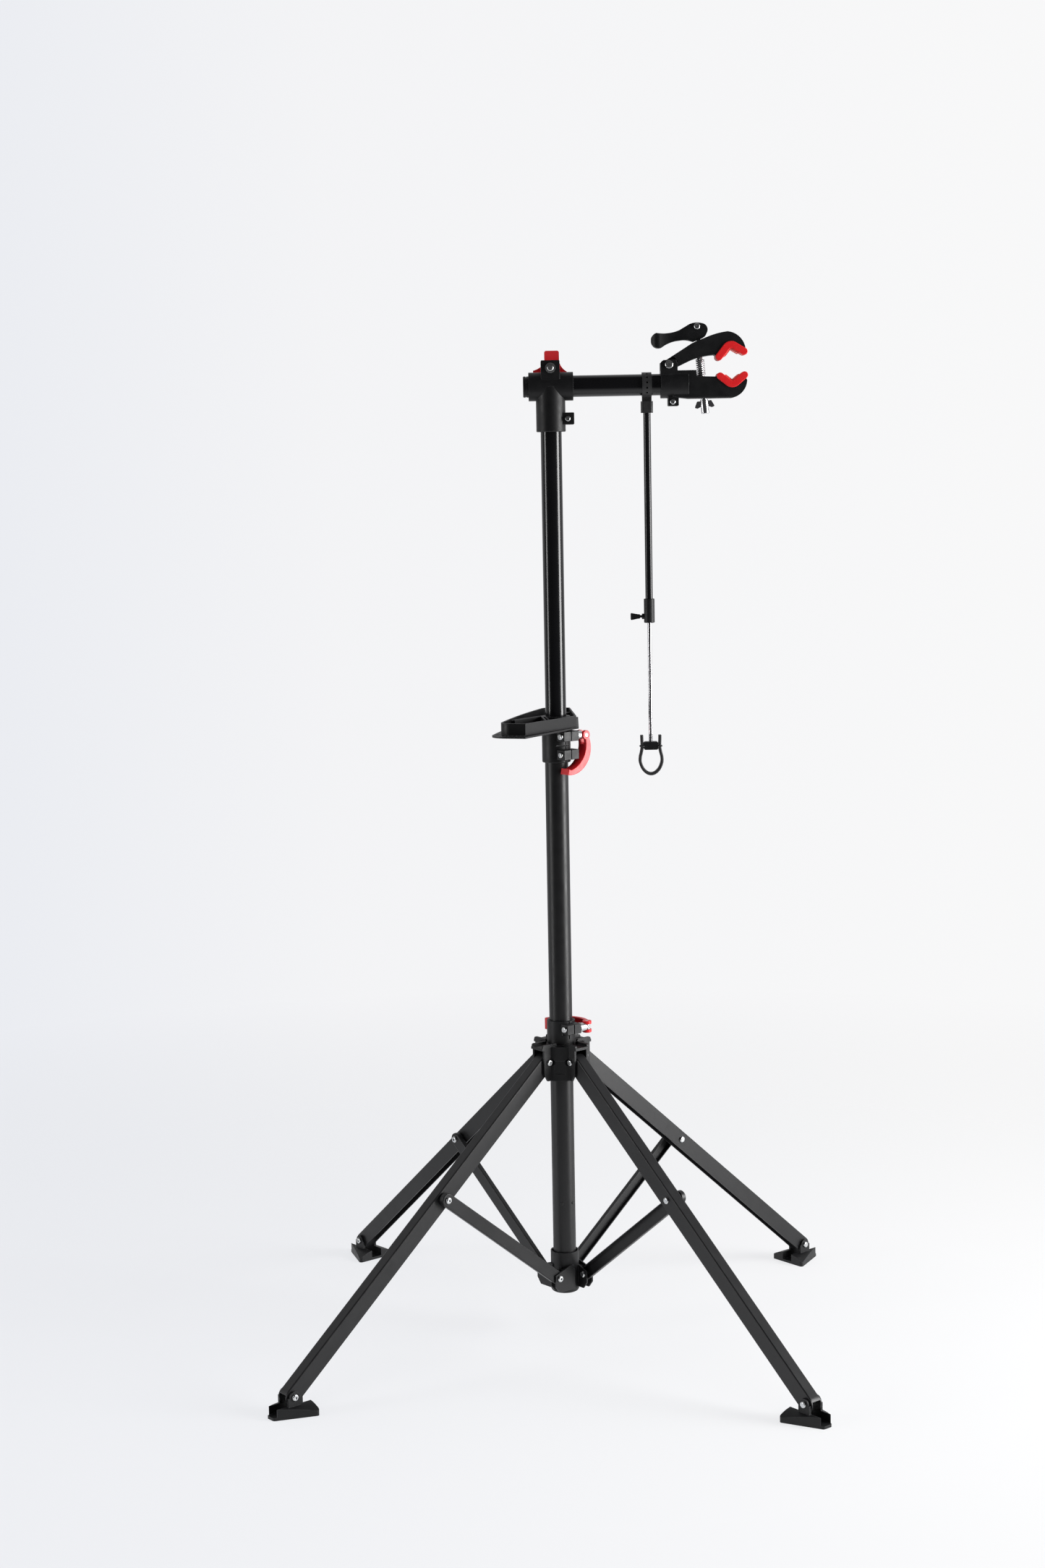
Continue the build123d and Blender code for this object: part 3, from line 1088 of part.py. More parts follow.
with BuildPart() as jaw_spring:
    with BuildSketch(draw_plane.offset(SPRING_TOP)):
        Circle(SPRING_R)
        Circle(SPRING_R - SPRING_WIRE, mode=Mode.SUBTRACT)
    extrude(amount=SPRING_LENGTH)
keep(jaw_spring.part, "jaw_spring")

nut_plane = Plane(
    origin=(draw_plane.origin + draw_plane.z_dir * NUT_TOP),
    x_dir=(cos(radians(DRAW_TILT)), 0, sin(radians(DRAW_TILT))),
    z_dir=(0, -1, 0),
)
with BuildPart() as wing_nut:
    with BuildSketch(nut_plane.offset(-1.6)):
        for side in (-1, 1):
            with BuildLine():
                Polyline(
                    (side * 3, -2.5), (side * 10.5, -2.2), (side * 15, -11.5), (side * 10.5, -12.8),
                    (side * 3, -9.5), close=True,
                )
            make_face()
    extrude(amount=3.2)
    wing_corners = wing_nut.edges().filter_by(Axis.Y).filter_by(lambda e: e.center().Z < 1422)
    fillet(wing_corners.sort_by(Axis.X)[:2] + wing_corners.sort_by(Axis.X)[-2:], radius=1.5)
    with BuildSketch(draw_plane.offset(NUT_TOP)):
        Circle(5.8)
    extrude(amount=NUT_HEIGHT)
    fillet(wing_nut.edges().filter_by(GeomType.CIRCLE).sort_by(Axis.Z)[0], radius=1)
    with BuildSketch(draw_plane.offset(NUT_TOP - 1)):
        Circle(DRAW_R + FIT_GAP)
    extrude(amount=NUT_HEIGHT + 2, mode=Mode.SUBTRACT)
keep(wing_nut.part, "wing_nut")

# ---------------------------------------------------------------- handlebar rod
with BuildPart() as rod_band:
    with BuildSketch(end_plane(ROD_X - BAND_WIDTH / 2)):
        with Locations((0, ARM_Z)):
            Circle(ARM_R + SLIDE_GAP + 2.4)
        with Locations((0, ARM_Z - ARM_R - 8)):
            Rectangle(8, 14)
        with Locations((0, ARM_Z)):
            Circle(ARM_R + SLIDE_GAP, mode=Mode.SUBTRACT)
    extrude(amount=BAND_WIDTH)
    with BuildSketch(Plane.XY.offset(1405)):
        with Locations((ROD_X, 0)):
            RectangleRounded(18, 13, 4)
    extrude(amount=17)
    for angle in (-150, -125, -100, -75, -50):
        hole = Plane(
            origin=(ROD_X, ARM_R * sin(radians(angle)), ARM_Z - ARM_R * cos(radians(angle))),
            z_dir=(0, sin(radians(angle)), -cos(radians(angle))),
        )
        with BuildSketch(hole):
            Circle(1.5)
        extrude(amount=6, mode=Mode.SUBTRACT)
    with BuildSketch(Plane.XY.offset(1400)):
        with Locations((ROD_X, 0)):
            Circle(ROD_R + FIT_GAP)
    extrude(amount=ROD_TOP - 1400, mode=Mode.SUBTRACT)
keep(rod_band.part, "rod_band")

with BuildPart() as outer_rod:
    with BuildSketch(Plane.XY.offset(ROD_BOTTOM)):
        with Locations((ROD_X, 0)):
            Circle(ROD_R)
            Circle(INNER_ROD_R + SLIDE_GAP, mode=Mode.SUBTRACT)
    extrude(amount=ROD_TOP - ROD_BOTTOM)
keep(outer_rod.part, "outer_rod")

with BuildPart() as rod_coupler:
    with BuildSketch(Plane.XY.offset(COUPLER_BOTTOM)):
        with Locations((ROD_X, 0)):
            Circle(COUPLER_R)
            Circle(INNER_ROD_R + SLIDE_GAP, mode=Mode.SUBTRACT)
    extrude(amount=COUPLER_TOP - COUPLER_BOTTOM)
    fillet(rod_coupler.faces().sort_by(Axis.Z)[0].outer_wire().edges(), radius=1)
    fillet(rod_coupler.faces().sort_by(Axis.Z)[-1].outer_wire().edges(), radius=1)
    with BuildSketch(Plane.XY.offset(ROD_BOTTOM)):
        with Locations((ROD_X, 0)):
            Circle(ROD_R + FIT_GAP)
    extrude(amount=30, mode=Mode.SUBTRACT)
    with BuildSketch(end_plane(ROD_X - COUPLER_R - 3)):
        with Locations((0, THUMB_Z)):
            Circle(4.2)
    extrude(amount=5)
    with BuildSketch(Plane.XY.offset(COUPLER_BOTTOM)):
        with Locations((ROD_X, 0)):
            Circle(INNER_ROD_R + SLIDE_GAP)
    extrude(amount=ROD_BOTTOM - COUPLER_BOTTOM, mode=Mode.SUBTRACT)
    with BuildSketch(end_plane(ROD_X - 20)):
        with Locations((0, THUMB_Z)):
            Circle(2 + FIT_GAP)
    extrude(amount=19, mode=Mode.SUBTRACT)
keep(rod_coupler.part, "rod_coupler")

with BuildPart() as thumb_screw:
    with BuildSketch(end_plane(ROD_X - INNER_ROD_R - 0.6)):
        with Locations((0, THUMB_Z)):
            Circle(2)
    extrude(amount=-12.5)
    with BuildSketch(front_plane(-2.2)):
        with BuildLine():
            Polyline(
                (ROD_X - 14, THUMB_Z - 3), (ROD_X - 18, THUMB_Z - 3.5), (ROD_X - 28, THUMB_Z - 5.5),
                (ROD_X - 28, THUMB_Z + 5.5), (ROD_X - 18, THUMB_Z + 3.5), (ROD_X - 14, THUMB_Z + 3),
                close=True,
            )
        make_face()
    extrude(amount=-4.4)
    fillet(thumb_screw.edges().filter_by(Axis.Y).group_by(Axis.X)[0], radius=1.5)
keep(thumb_screw.part, "thumb_screw")

with BuildPart() as inner_rod:
    with BuildSketch(Plane.XY.offset(INNER_ROD_BOTTOM)):
        with Locations((ROD_X, 0)):
            Circle(INNER_ROD_R)
    extrude(amount=INNER_ROD_TOP - INNER_ROD_BOTTOM)
keep(inner_rod.part, "inner_rod")

with BuildPart() as rod_cradle:
    with BuildSketch(front_plane(-6.5)):
        with Locations((ROD_X, sum(CRADLE_Z) / 2)):
            RectangleRounded(22, CRADLE_Z[1] - CRADLE_Z[0], 3)
    extrude(amount=-13)
    with BuildSketch(Plane.XY.offset(INNER_ROD_BOTTOM)):
        with Locations((ROD_X, 0)):
            Circle(INNER_ROD_R + FIT_GAP)
    extrude(amount=30, mode=Mode.SUBTRACT)
keep(rod_cradle.part, "rod_cradle")


def loop_outline(grow):
    """Teardrop outline of the strap loop, grown by the given amount."""
    with BuildSketch() as teardrop:
        with BuildLine():
            ThreePointArc((13.5 + grow, 912), (17.3 + grow, 898), (18.5 + grow, 882))
            ThreePointArc((18.5 + grow, 882), (0, 863.5 - grow), (-18.5 - grow, 882))
            ThreePointArc((-18.5 - grow, 882), (-17.3 - grow, 898), (-13.5 - grow, 912))
            Line((-13.5 - grow, 912), (13.5 + grow, 912))
        make_face()
    return teardrop.sketch


with BuildPart() as strap:
    with BuildSketch(front_plane(-6.5)):
        with Locations((ROD_X, 0)):
            add(loop_outline(0))
            add(loop_outline(-STRAP_THICKNESS), mode=Mode.SUBTRACT)
    extrude(amount=-13)
    for side in (-1, 1):
        with BuildSketch(front_plane(-6.5)):
            with Locations((ROD_X + side * 13, 916.5)):
                RectangleRounded(5.4, 18, 2.4)
        extrude(amount=-13)
    with BuildSketch(front_plane(-8)):
        with Locations((ROD_X, sum(CRADLE_Z) / 2 + 3)):
            Rectangle(22, CRADLE_Z[1] - CRADLE_Z[0] + 6)
    extrude(amount=-16, mode=Mode.SUBTRACT)
keep(strap.part, "handlebar_strap")
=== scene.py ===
"""Looks of a folding bicycle repair stand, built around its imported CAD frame. Metres, +Z up."""
import json
import math

import bmesh
import bpy
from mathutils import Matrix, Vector


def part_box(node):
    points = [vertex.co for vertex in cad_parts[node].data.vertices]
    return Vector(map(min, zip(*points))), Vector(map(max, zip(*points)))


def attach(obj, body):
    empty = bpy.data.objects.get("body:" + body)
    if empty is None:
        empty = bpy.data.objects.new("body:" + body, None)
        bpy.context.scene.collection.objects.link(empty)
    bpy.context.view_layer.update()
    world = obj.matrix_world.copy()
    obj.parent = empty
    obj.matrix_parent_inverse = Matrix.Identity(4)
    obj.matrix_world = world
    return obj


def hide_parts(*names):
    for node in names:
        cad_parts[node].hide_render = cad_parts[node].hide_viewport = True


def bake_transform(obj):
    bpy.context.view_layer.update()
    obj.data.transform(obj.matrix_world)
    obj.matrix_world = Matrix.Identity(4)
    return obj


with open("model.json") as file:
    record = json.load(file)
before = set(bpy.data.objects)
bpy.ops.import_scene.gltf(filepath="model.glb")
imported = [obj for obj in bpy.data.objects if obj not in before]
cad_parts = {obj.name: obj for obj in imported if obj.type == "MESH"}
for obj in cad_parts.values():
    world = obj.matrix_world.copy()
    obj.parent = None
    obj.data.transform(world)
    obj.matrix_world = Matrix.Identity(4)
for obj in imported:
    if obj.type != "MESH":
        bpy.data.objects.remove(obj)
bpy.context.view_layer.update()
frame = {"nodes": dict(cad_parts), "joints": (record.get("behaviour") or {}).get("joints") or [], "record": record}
nodes = frame["nodes"]
axes = {joint["name"]: Vector(joint["axis"]).normalized() for joint in frame["joints"]}

# ------------------------------------------------------------------------------------ materials


# a noise output mostly lies between these two, so this part of it is spread over a wanted range
NOISE_LOW, NOISE_HIGH = 0.3, 0.7


class Shader:
    """A node material with a Principled BSDF, and short helpers for the nodes that feed it."""

    def __init__(self, name, roughness=0.5, metallic=0.0, ior=1.45, **constants):
        self.material = bpy.data.materials.new(name)
        self.material.use_nodes = True
        self.tree = self.material.node_tree
        self.bsdf = self.tree.nodes["Principled BSDF"]
        self.bsdf.inputs["Roughness"].default_value = roughness
        self.bsdf.inputs["Metallic"].default_value = metallic
        self.bsdf.inputs["IOR"].default_value = ior
        for socket, value in constants.items():
            self.bsdf.inputs[socket.replace("_", " ")].default_value = value
        self.place = self.node("TexCoord").outputs["Object"]

    def node(self, kind, **settings):
        made = self.tree.nodes.new("ShaderNode" + kind)
        for key, value in settings.items():
            setattr(made, key, value)
        return made

    def link(self, start, end):
        self.tree.links.new(start, end)

    def stretch(self, scale):
        """Object coordinates scaled unevenly, for a pattern drawn out along an axis."""
        mapping = self.node("Mapping")
        mapping.inputs["Scale"].default_value = scale
        self.link(self.place, mapping.inputs["Vector"])
        return mapping.outputs["Vector"]

    def noise(self, scale, detail=3.0, place=None):
        made = self.node("TexNoise")
        made.inputs["Scale"].default_value = scale
        made.inputs["Detail"].default_value = detail
        self.link(place or self.place, made.inputs["Vector"])
        return made.outputs["Fac"]

    def cells(self, scale):
        made = self.node("TexVoronoi")
        made.inputs["Scale"].default_value = scale
        self.link(self.place, made.inputs["Vector"])
        return made.outputs["Distance"]

    def spread(self, value, low, high, to_low=0.0, to_high=1.0):
        made = self.node("MapRange")
        for socket, number in zip(("From Min", "From Max", "To Min", "To Max"), (low, high, to_low, to_high)):
            made.inputs[socket].default_value = number
        self.link(value, made.inputs["Value"])
        return made.outputs["Result"]

    def mix(self, share, first, second):
        """Colour between two colours or colour outputs."""
        made = self.node("Mix", data_type="RGBA")
        self.link(share, made.inputs["Factor"])
        for socket, colour in ((made.inputs[6], first), (made.inputs[7], second)):
            if isinstance(colour, tuple):
                socket.default_value = (*colour, 1.0)
            else:
                self.link(colour, socket)
        return made.outputs[2]

    def maths(self, operation, first, second):
        made = self.node("Math", operation=operation)
        for socket, value in zip(made.inputs, (first, second)):
            if isinstance(value, float):
                socket.default_value = value
            else:
                self.link(value, socket)
        return made.outputs[0]

    def axis(self, name):
        made = self.node("SeparateXYZ")
        self.link(self.place, made.inputs[0])
        return made.outputs[name]

    def colour(self, output):
        self.link(output, self.bsdf.inputs["Base Color"])

    def rough(self, pattern, low, high):
        """Roughness between two values, following a noise output."""
        roughness = self.spread(pattern, NOISE_LOW, NOISE_HIGH, low, high)
        self.link(roughness, self.bsdf.inputs["Roughness"])

    def relief(self, *layers, edge=0.0):
        """Bump layers of (height output, depth in metres), over edges rounded by an edge radius."""
        normal = None
        if edge:
            rounded = self.node("Bevel", samples=4)
            rounded.inputs["Radius"].default_value = edge
            normal = rounded.outputs["Normal"]
        for height, depth in layers:
            bump = self.node("Bump")
            bump.inputs["Distance"].default_value = depth
            bump.inputs["Strength"].default_value = 1.0
            self.link(height, bump.inputs["Height"])
            if normal:
                self.link(normal, bump.inputs["Normal"])
            normal = bump.outputs["Normal"]
        self.link(normal, self.bsdf.inputs["Normal"])

    def edge_share(self, radius, low=0.86, high=0.995):
        """1 on sharp edges and 0 on flats, from how far a rounded normal leans away."""
        rounded = self.node("Bevel", samples=4)
        rounded.inputs["Radius"].default_value = radius
        flat = self.node("NewGeometry").outputs["Normal"]
        dot = self.node("VectorMath", operation="DOT_PRODUCT")
        self.link(rounded.outputs["Normal"], dot.inputs[0])
        self.link(flat, dot.inputs[1])
        return self.spread(dot.outputs["Value"], high, low)


def gloss_enamel():
    """Deep black enamel on drawn tube: high gloss, slightly cloudy in colour and in polish."""
    s = Shader("gloss_enamel", ior=1.46)
    s.colour(s.mix(s.noise(9.0, 2.0), (0.0030, 0.0030, 0.0036), (0.0065, 0.0065, 0.0075)))
    s.rough(s.noise(40.0), 0.15, 0.20)
    return s.material


def powder_coat():
    """Satin black powder coat: fine pebble, slightly cloudy, with a painted highlight that makes the folded edges
    paler.
    """
    s = Shader("powder_coat", ior=1.42)
    cloud = s.mix(s.noise(14.0), (0.0065, 0.0065, 0.0072), (0.0100, 0.0100, 0.0108))
    # painted highlight: a paler colour on the sharp folded edges, broken up by noise
    painted_edge_highlight = s.maths("MULTIPLY", s.edge_share(0.0009), s.spread(s.noise(160.0), 0.35, 0.65, 0.35, 1.0))
    s.colour(s.mix(painted_edge_highlight, cloud, (0.05, 0.05, 0.053)))
    s.rough(s.noise(55.0), 0.34, 0.44)
    s.relief((s.cells(2600.0), 0.000018), (s.noise(600.0, 2.0), 0.000012), edge=0.0006)
    return s.material


def moulded_nylon():
    """Glass-filled nylon: spark-eroded grain, flow clouds, and a painted highlight that makes the edges paler."""
    s = Shader("moulded_nylon", ior=1.40)
    cloud = s.mix(s.noise(26.0), (0.0030, 0.0031, 0.0036), (0.0055, 0.0056, 0.0062))
    specks = s.spread(s.noise(2300.0, 1.0), 0.62, 0.74)
    grain = s.mix(specks, cloud, (0.020, 0.020, 0.022))
    # painted highlight: a paler colour on the sharp edges, broken up by noise, standing in for a glancing
    # reflection
    painted_edge_highlight = s.maths("MULTIPLY", s.edge_share(0.0011), s.spread(s.noise(240.0), NOISE_LOW, NOISE_HIGH, 0.3, 1.0))
    s.colour(s.mix(painted_edge_highlight, grain, (0.060, 0.061, 0.065)))
    s.rough(s.noise(90.0), 0.42, 0.54)
    s.relief((s.cells(1900.0), 0.000015), (s.noise(700.0, 3.0), 0.000012), edge=0.0006)
    return s.material


def lever_plastic():
    """Red moulded lever: glossy skin with slight sink clouds and uneven polish."""
    s = Shader("lever_plastic", ior=1.49, Subsurface_Weight=0.06, Subsurface_Scale=0.002)
    s.colour(s.mix(s.noise(32.0), (0.60, 0.008, 0.014), (0.74, 0.014, 0.020)))
    s.rough(s.noise(120.0), 0.32, 0.42)
    s.relief((s.noise(60.0, 1.0), 0.00002))
    return s.material


# half widths of a pad between which its gripping face gives way to its side
PAD_FRONT = 0.0133
PAD_SIDE = 0.0139
PAD_RIB_DEPTH = 0.00035


def pad_rubber():
    """Red pad: smooth bright sides and a paler, ribbed gripping face between them."""
    s = Shader("pad_rubber", ior=1.45, Subsurface_Weight=0.10, Subsurface_Scale=0.003)
    width = s.maths("ABSOLUTE", s.axis("Y"), 0.0)
    side = s.spread(width, PAD_FRONT, PAD_SIDE)
    cloud = s.mix(s.noise(45.0), (0.66, 0.010, 0.014), (0.80, 0.018, 0.020))
    grip = s.mix(s.noise(80.0), (0.82, 0.16, 0.13), (0.90, 0.26, 0.22))
    s.colour(s.mix(side, grip, cloud))
    s.rough(s.noise(140.0), 0.36, 0.5)
    ribs = s.node("TexWave", wave_profile="SIN")
    ribs.bands_direction = "Y"
    ribs.inputs["Scale"].default_value = 160.0
    s.link(s.place, ribs.inputs["Vector"])
    inner = s.maths("SUBTRACT", 1.0, side)
    rib_height = s.maths("MULTIPLY", ribs.outputs["Fac"], inner)
    s.relief((rib_height, PAD_RIB_DEPTH), (s.noise(1300.0, 2.0), 0.000014))
    return s.material


def zinc_plate():
    """Zinc on small fasteners: slight blue and straw tints, fine tumbling scratches."""
    s = Shader("zinc_plate", metallic=1.0)
    s.colour(s.mix(s.noise(150.0), (0.52, 0.55, 0.60), (0.72, 0.71, 0.67)))
    s.rough(s.noise(400.0), 0.22, 0.36)
    s.relief((s.noise(1500.0, 3.0), 0.000006))
    return s.material


def chrome_plate():
    """Polished chrome, with very fine lengthwise polishing lines."""
    s = Shader("chrome_plate", metallic=1.0)
    s.colour(s.mix(s.noise(18.0), (0.52, 0.52, 0.55), (0.66, 0.65, 0.66)))
    lines = s.noise(1.0, 2.0, s.stretch((2600.0, 2600.0, 30.0)))
    s.rough(lines, 0.16, 0.24)
    return s.material


def black_rubber():
    """Black rubber: slightly dusty, with a soft sheen and a fine moulded skin."""
    s = Shader("black_rubber", ior=1.5, Sheen_Weight=0.08, Sheen_Roughness=0.4)
    s.colour(s.mix(s.noise(70.0), (0.010, 0.010, 0.011), (0.026, 0.026, 0.027)))
    s.rough(s.noise(160.0), 0.40, 0.58)
    s.relief((s.noise(1100.0, 3.0), 0.000030), (s.noise(140.0, 1.0), 0.00006))
    return s.material


ENAMEL, POWDER, NYLON = gloss_enamel(), powder_coat(), moulded_nylon()
LEVER_RED, PAD_RED = lever_plastic(), pad_rubber()
ZINC, CHROME, RUBBER = zinc_plate(), chrome_plate(), black_rubber()

FINISHES = {
    "gloss_black_tube": ENAMEL,
    "satin_black_steel": POWDER,
    "black_nylon": NYLON,
    "red_plastic": LEVER_RED,
    "red_rubber": PAD_RED,
    "black_rubber": RUBBER,
    "zinc_steel": ZINC,
    "chrome_steel": CHROME,
}


def dress(thing, material):
    thing.data.materials.clear()
    thing.data.materials.append(material)


for entry in frame["record"]["subparts"]:
    dress(nodes[entry["node"]], FINISHES[entry["material_slot"]])

# ------------------------------------------------------------------------------------ mesh pieces


def mesh_piece(name, mesh_data, body, slot):
    """New smooth object from a bmesh, riding on a body if one is given, in its slot's finish."""
    bmesh.ops.recalc_face_normals(mesh_data, faces=mesh_data.faces)
    mesh = bpy.data.meshes.new(name)
    mesh_data.to_mesh(mesh)
    mesh_data.free()
    for polygon in mesh.polygons:
        polygon.use_smooth = True
    piece = bpy.data.objects.new(name, mesh)
    bpy.context.scene.collection.objects.link(piece)
    piece.data.materials.append(FINISHES[slot])
    if body:
        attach(piece, body)
    return piece


def sweep(mesh_data, path, section, normal, closed=False):
    """Skins a section of (sideways, along normal) offsets along a path, with end caps when open."""
    rings = []
    count = len(path)
    for index, point in enumerate(path):
        before = path[index - 1] if index or closed else point
        after = path[(index + 1) % count] if index + 1 < count or closed else point
        tangent = (after - before).normalized()
        side = tangent.cross(normal).normalized()
        up = side.cross(tangent)
        rings.append([mesh_data.verts.new(point + side * a + up * b) for a, b in section])
    pairs = zip(rings, rings[1:] + rings[:1]) if closed else zip(rings, rings[1:])
    for first, second in pairs:
        for k in range(len(section)):
            j = (k + 1) % len(section)
            mesh_data.faces.new((first[k], first[j], second[j], second[k]))
    if not closed:
        mesh_data.faces.new(rings[0])
        mesh_data.faces.new(rings[-1])


def round_section(radius, steps=8):
    turns = [2 * math.pi * k / steps for k in range(steps)]
    return [(radius * math.cos(a), radius * math.sin(a)) for a in turns]


def oval_section(width, height, power=0.45, steps=20):
    """Superellipse of two half sizes; the lower the power, the nearer to a rectangle."""
    points = []
    for k in range(steps):
        a = 2 * math.pi * k / steps
        c, s = math.cos(a), math.sin(a)
        points.append((width * math.copysign(abs(c) ** power, c),
                       height * math.copysign(abs(s) ** power, s)))
    return points


def smooth_path(points, per_span=8):
    """Catmull-Rom curve through the points."""
    padded = [points[0] * 2 - points[1], *points, points[-1] * 2 - points[-2]]
    path = []
    for a, b, c, d in zip(padded, padded[1:], padded[2:], padded[3:]):
        for k in range(per_span):
            t = k / per_span
            path.append(0.5 * (2 * b + (c - a) * t + (2 * a - 5 * b + 4 * c - d) * t * t
                               + (3 * b - a - 3 * c + d) * t ** 3))
    path.append(points[-1])
    return path


# ------------------------------------------------------------------------------------ jaw spring
SPRING_TURNS = 8.5
STEPS_PER_TURN = 28
WIRE_R = 0.00075
CLOSED_SHARE = 0.25


def make_spring():
    """Compression spring on the draw bolt, with its turns closer at both ends."""
    low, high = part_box("jaw_spring")
    axis = axes["draw_slide"]
    centre = (low + high) / 2
    radius = (high.y - low.y) / 2 - WIRE_R
    half = ((high.z - low.z) / 2 - radius * abs(axis.x)) / axis.z - WIRE_R
    side = Vector((0, 1, 0))
    front = axis.cross(side)
    steps = int(SPRING_TURNS * STEPS_PER_TURN)
    path = []
    for k in range(steps + 1):
        t = k / steps
        rise = 0.5 - 0.5 * math.cos(math.pi * t)
        climb = (1 - CLOSED_SHARE) * t + CLOSED_SHARE * rise
        turn = 2 * math.pi * SPRING_TURNS * t
        along = axis * (half * (2 * climb - 1))
        across = side * (radius * math.cos(turn)) + front * (radius * math.sin(turn))
        path.append(centre + along + across)
    mesh_data = bmesh.new()
    sweep(mesh_data, path, round_section(WIRE_R), axis)
    spring = mesh_piece("jaw_spring_coil", mesh_data, None, "chrome_steel")
    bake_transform(spring)
    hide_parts("jaw_spring")


make_spring()

# ------------------------------------------------------------------------------------ handlebar strap
STRAP_HALF_WIDTH = 0.0062
STRAP_HALF_THICKNESS = 0.00235
STRAP_EDGE_R = 0.0012
STRAP_LIFT = 0.0004
KEEPER_GAP = 0.0006
KEEPER_R = 0.0011
KEEPER_HEIGHT = 0.45
# half outline of the loop: distance from the rod's axis and height above the bottom of the CAD strap
STRAP_PRONG = ((0.0137, 0.0615), (0.0136, 0.0555), (0.0133, 0.0480), (0.0134, 0.0420))
STRAP_SIDE = ((0.0147, 0.0350), (0.0162, 0.0285), (0.0162, 0.0205), (0.0125, 0.0110), (0.0065, 0.0048))


def make_strap():
    """Rubber strap: two prongs through the cradle and a teardrop loop under it."""
    low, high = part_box("handlebar_strap")
    middle = (low + high) / 2
    half = [Vector((middle.x - a, middle.y, low.z + h)) for a, h in STRAP_PRONG + STRAP_SIDE]
    mirror = [Vector((2 * middle.x - p.x, p.y, p.z)) for p in reversed(half)]
    bottom = Vector((middle.x, middle.y, low.z + STRAP_HALF_THICKNESS + STRAP_LIFT))
    path = smooth_path(half + [bottom] + mirror)
    mesh_data = bmesh.new()
    sweep(mesh_data, path, oval_section(STRAP_HALF_THICKNESS, STRAP_HALF_WIDTH), Vector((0, 1, 0)))
    strap = mesh_piece("rubber_strap", mesh_data, "cradle", "black_rubber")
    rounding = strap.modifiers.new("soften", "BEVEL")
    rounding.width = STRAP_EDGE_R
    rounding.segments = 3
    rounding.limit_method = "ANGLE"
    rounding.angle_limit = math.radians(60)
    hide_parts("handlebar_strap")


def make_keepers():
    """Moulded rings that hold the two prongs of the strap beside the cradle."""
    cradle_low, cradle_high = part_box("rod_cradle")
    strap_low, strap_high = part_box("handlebar_strap")
    middle = (strap_low + strap_high) / 2
    height = cradle_low.z + KEEPER_HEIGHT * (cradle_high.z - cradle_low.z)
    reach = STRAP_PRONG[2][0]
    half_sizes = STRAP_HALF_THICKNESS + KEEPER_GAP, STRAP_HALF_WIDTH + KEEPER_GAP
    outline = oval_section(*half_sizes, power=0.5, steps=32)
    mesh_data = bmesh.new()
    for side in (-1, 1):
        centre = Vector((middle.x + side * reach, middle.y, height))
        ring = [centre + Vector((out, across, 0)) for out, across in outline]
        sweep(mesh_data, ring, round_section(KEEPER_R), Vector((0, 0, 1)), closed=True)
    mesh_piece("strap_keepers", mesh_data, "cradle", "black_rubber")


make_strap()
make_keepers()

# ------------------------------------------------------------------------------------ stage
PALE_LEFT = (0.83, 0.845, 0.885)
PALE_MIDDLE = (0.900, 0.902, 0.918)
PALE_RIGHT = (0.940, 0.940, 0.944)
MIDDLE_STOP = 0.32
FLOOR_R = 3.2
FLOOR_GREY = 0.22
FLOOR_GLOW = 0.80
FLOOR_HALF_GRADIENT = 0.9
FLOOR_FADE_START = 0.75
FLOOR_FADE_END = 2.6
# strength of the light from the backdrop, in front of the object and behind it
FRONT_GLOW = 0.05
BACK_GLOW = 0.60
GLOW_START = -0.05
GLOW_END = 0.45
BACKDROP_HALF_GRADIENT = 0.2
STRIP_DISTANCE = 2.6
STRIP_HEIGHT = 1.0
STRIP_LENGTH = 2.1


def make_floor():
    """Pale disc that takes soft shadows near the object and fades into the backdrop."""
    mesh_data = bmesh.new()
    bmesh.ops.create_circle(mesh_data, cap_ends=True, radius=FLOOR_R, segments=96)
    mesh = bpy.data.meshes.new("floor")
    mesh_data.to_mesh(mesh)
    mesh_data.free()
    floor = bpy.data.objects.new("floor", mesh)
    bpy.context.scene.collection.objects.link(floor)
    s = Shader("pale_floor", roughness=0.9)
    s.bsdf.inputs["Base Color"].default_value = (FLOOR_GREY, FLOOR_GREY, FLOOR_GREY, 1.0)
    glow = s.mix(s.spread(s.axis("X"), -FLOOR_HALF_GRADIENT, FLOOR_HALF_GRADIENT), PALE_LEFT, PALE_RIGHT)
    s.link(glow, s.bsdf.inputs["Emission Color"])
    s.bsdf.inputs["Emission Strength"].default_value = FLOOR_GLOW
    s.bsdf.inputs["Specular IOR Level"].default_value = 0.0
    distance = s.node("VectorMath", operation="LENGTH")
    s.link(s.place, distance.inputs[0])
    fade = s.spread(distance.outputs["Value"], FLOOR_FADE_START, FLOOR_FADE_END, 1.0, 0.0)
    s.link(fade, s.bsdf.inputs["Alpha"])
    floor.data.materials.append(s.material)


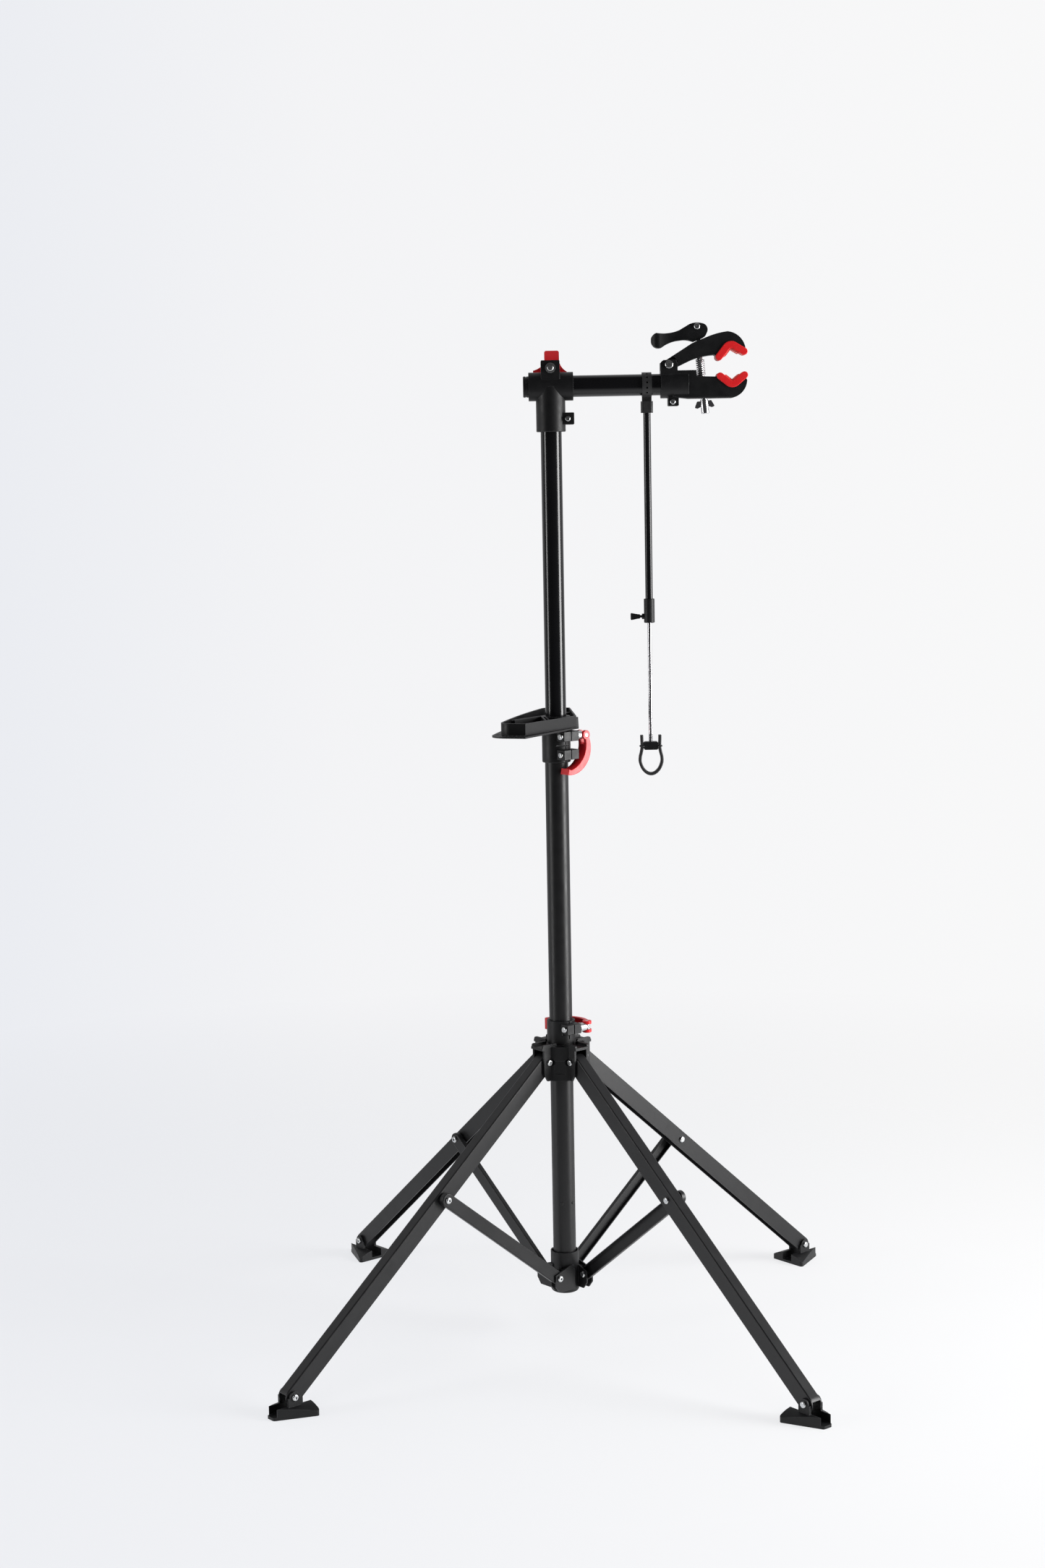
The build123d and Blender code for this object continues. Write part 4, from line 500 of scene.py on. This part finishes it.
def make_world():
    """Near-white backdrop, a little brighter to the right, that lights the object only softly."""
    world = bpy.data.worlds.new("studio")
    bpy.context.scene.world = world
    world.use_nodes = True
    tree = world.node_tree
    tree.nodes.clear()
    out = tree.nodes.new("ShaderNodeOutputWorld")
    seen = tree.nodes.new("ShaderNodeBackground")
    lit = tree.nodes.new("ShaderNodeBackground")
    lit.inputs["Color"].default_value = (1.0, 1.0, 1.02, 1.0)
    choose = tree.nodes.new("ShaderNodeMixShader")
    path = tree.nodes.new("ShaderNodeLightPath")
    tree.links.new(path.outputs["Is Camera Ray"], choose.inputs["Fac"])
    tree.links.new(lit.outputs[0], choose.inputs[1])
    tree.links.new(seen.outputs[0], choose.inputs[2])
    tree.links.new(choose.outputs[0], out.inputs["Surface"])
    direction = tree.nodes.new("ShaderNodeTexCoord").outputs["Generated"]
    split = tree.nodes.new("ShaderNodeSeparateXYZ")
    tree.links.new(direction, split.inputs[0])
    depth = tree.nodes.new("ShaderNodeMapRange")
    depth.interpolation_type = "SMOOTHSTEP"
    depth.inputs["From Min"].default_value = GLOW_START
    depth.inputs["From Max"].default_value = GLOW_END
    depth.inputs["To Min"].default_value = FRONT_GLOW
    depth.inputs["To Max"].default_value = BACK_GLOW
    tree.links.new(split.outputs["Y"], depth.inputs["Value"])
    tree.links.new(depth.outputs["Result"], lit.inputs["Strength"])
    across = tree.nodes.new("ShaderNodeMapRange")
    across.inputs["From Min"].default_value = -BACKDROP_HALF_GRADIENT
    across.inputs["From Max"].default_value = BACKDROP_HALF_GRADIENT
    tree.links.new(split.outputs["X"], across.inputs["Value"])
    ramp = tree.nodes.new("ShaderNodeValToRGB")
    stops = ramp.color_ramp.elements
    stops[0].color = (*PALE_LEFT, 1.0)
    stops[1].color = (*PALE_RIGHT, 1.0)
    stops.new(MIDDLE_STOP).color = (*PALE_MIDDLE, 1.0)
    tree.links.new(across.outputs["Result"], ramp.inputs["Fac"])
    tree.links.new(ramp.outputs["Color"], seen.inputs["Color"])


def softbox(name, place, aim, width, height, radiance, mirrored=True):
    """Area light of an even radiance that faces a point, seen in reflections or not."""
    data = bpy.data.lights.new(name, "AREA")
    data.shape = "RECTANGLE"
    data.size, data.size_y = width, height
    data.energy = math.pi * radiance * width * height
    light = bpy.data.objects.new(name, data)
    light.location = place
    light.visible_glossy = mirrored
    light.rotation_euler = (Vector(aim) - Vector(place)).to_track_quat("-Z", "Y").to_euler()
    bpy.context.scene.collection.objects.link(light)


def around(angle, distance, height):
    """Place at an angle from the front (-Y) towards +X."""
    a = math.radians(angle)
    return (distance * math.sin(a), -distance * math.cos(a), height)


make_floor()
make_world()
for name, angle, width, radiance in (("key_strip", 76, 1.05, 15.0), ("left_strip", -74, 0.5, 7.5)):
    place = around(angle, STRIP_DISTANCE, STRIP_HEIGHT)
    softbox(name, place, (0, 0, STRIP_HEIGHT), width, STRIP_LENGTH, radiance)
softbox("fill", (0.2, -1.4, 3.6), (0, 0, 0.4), 3.0, 3.0, 1.3, mirrored=False)

# ------------------------------------------------------------------------------------ camera
CAMERA_PLACE = Vector((-0.052, -3.792, 1.323))
CAMERA_TILT = math.radians(7.05)
CAMERA_ROLL = math.radians(1.052)
CAMERA_LENS = 58.12
CAMERA_SENSOR = 36.0

camera_data = bpy.data.cameras.new("camera")
camera_data.lens = CAMERA_LENS
camera_data.sensor_width = CAMERA_SENSOR
camera = bpy.data.objects.new("camera", camera_data)
camera.location = CAMERA_PLACE
camera.rotation_euler = (math.pi / 2 - CAMERA_TILT, 0, 0)
camera.rotation_euler.rotate_axis("Z", -CAMERA_ROLL)
bpy.context.scene.collection.objects.link(camera)
bpy.context.scene.camera = camera
bpy.context.scene.view_settings.view_transform = "Standard"
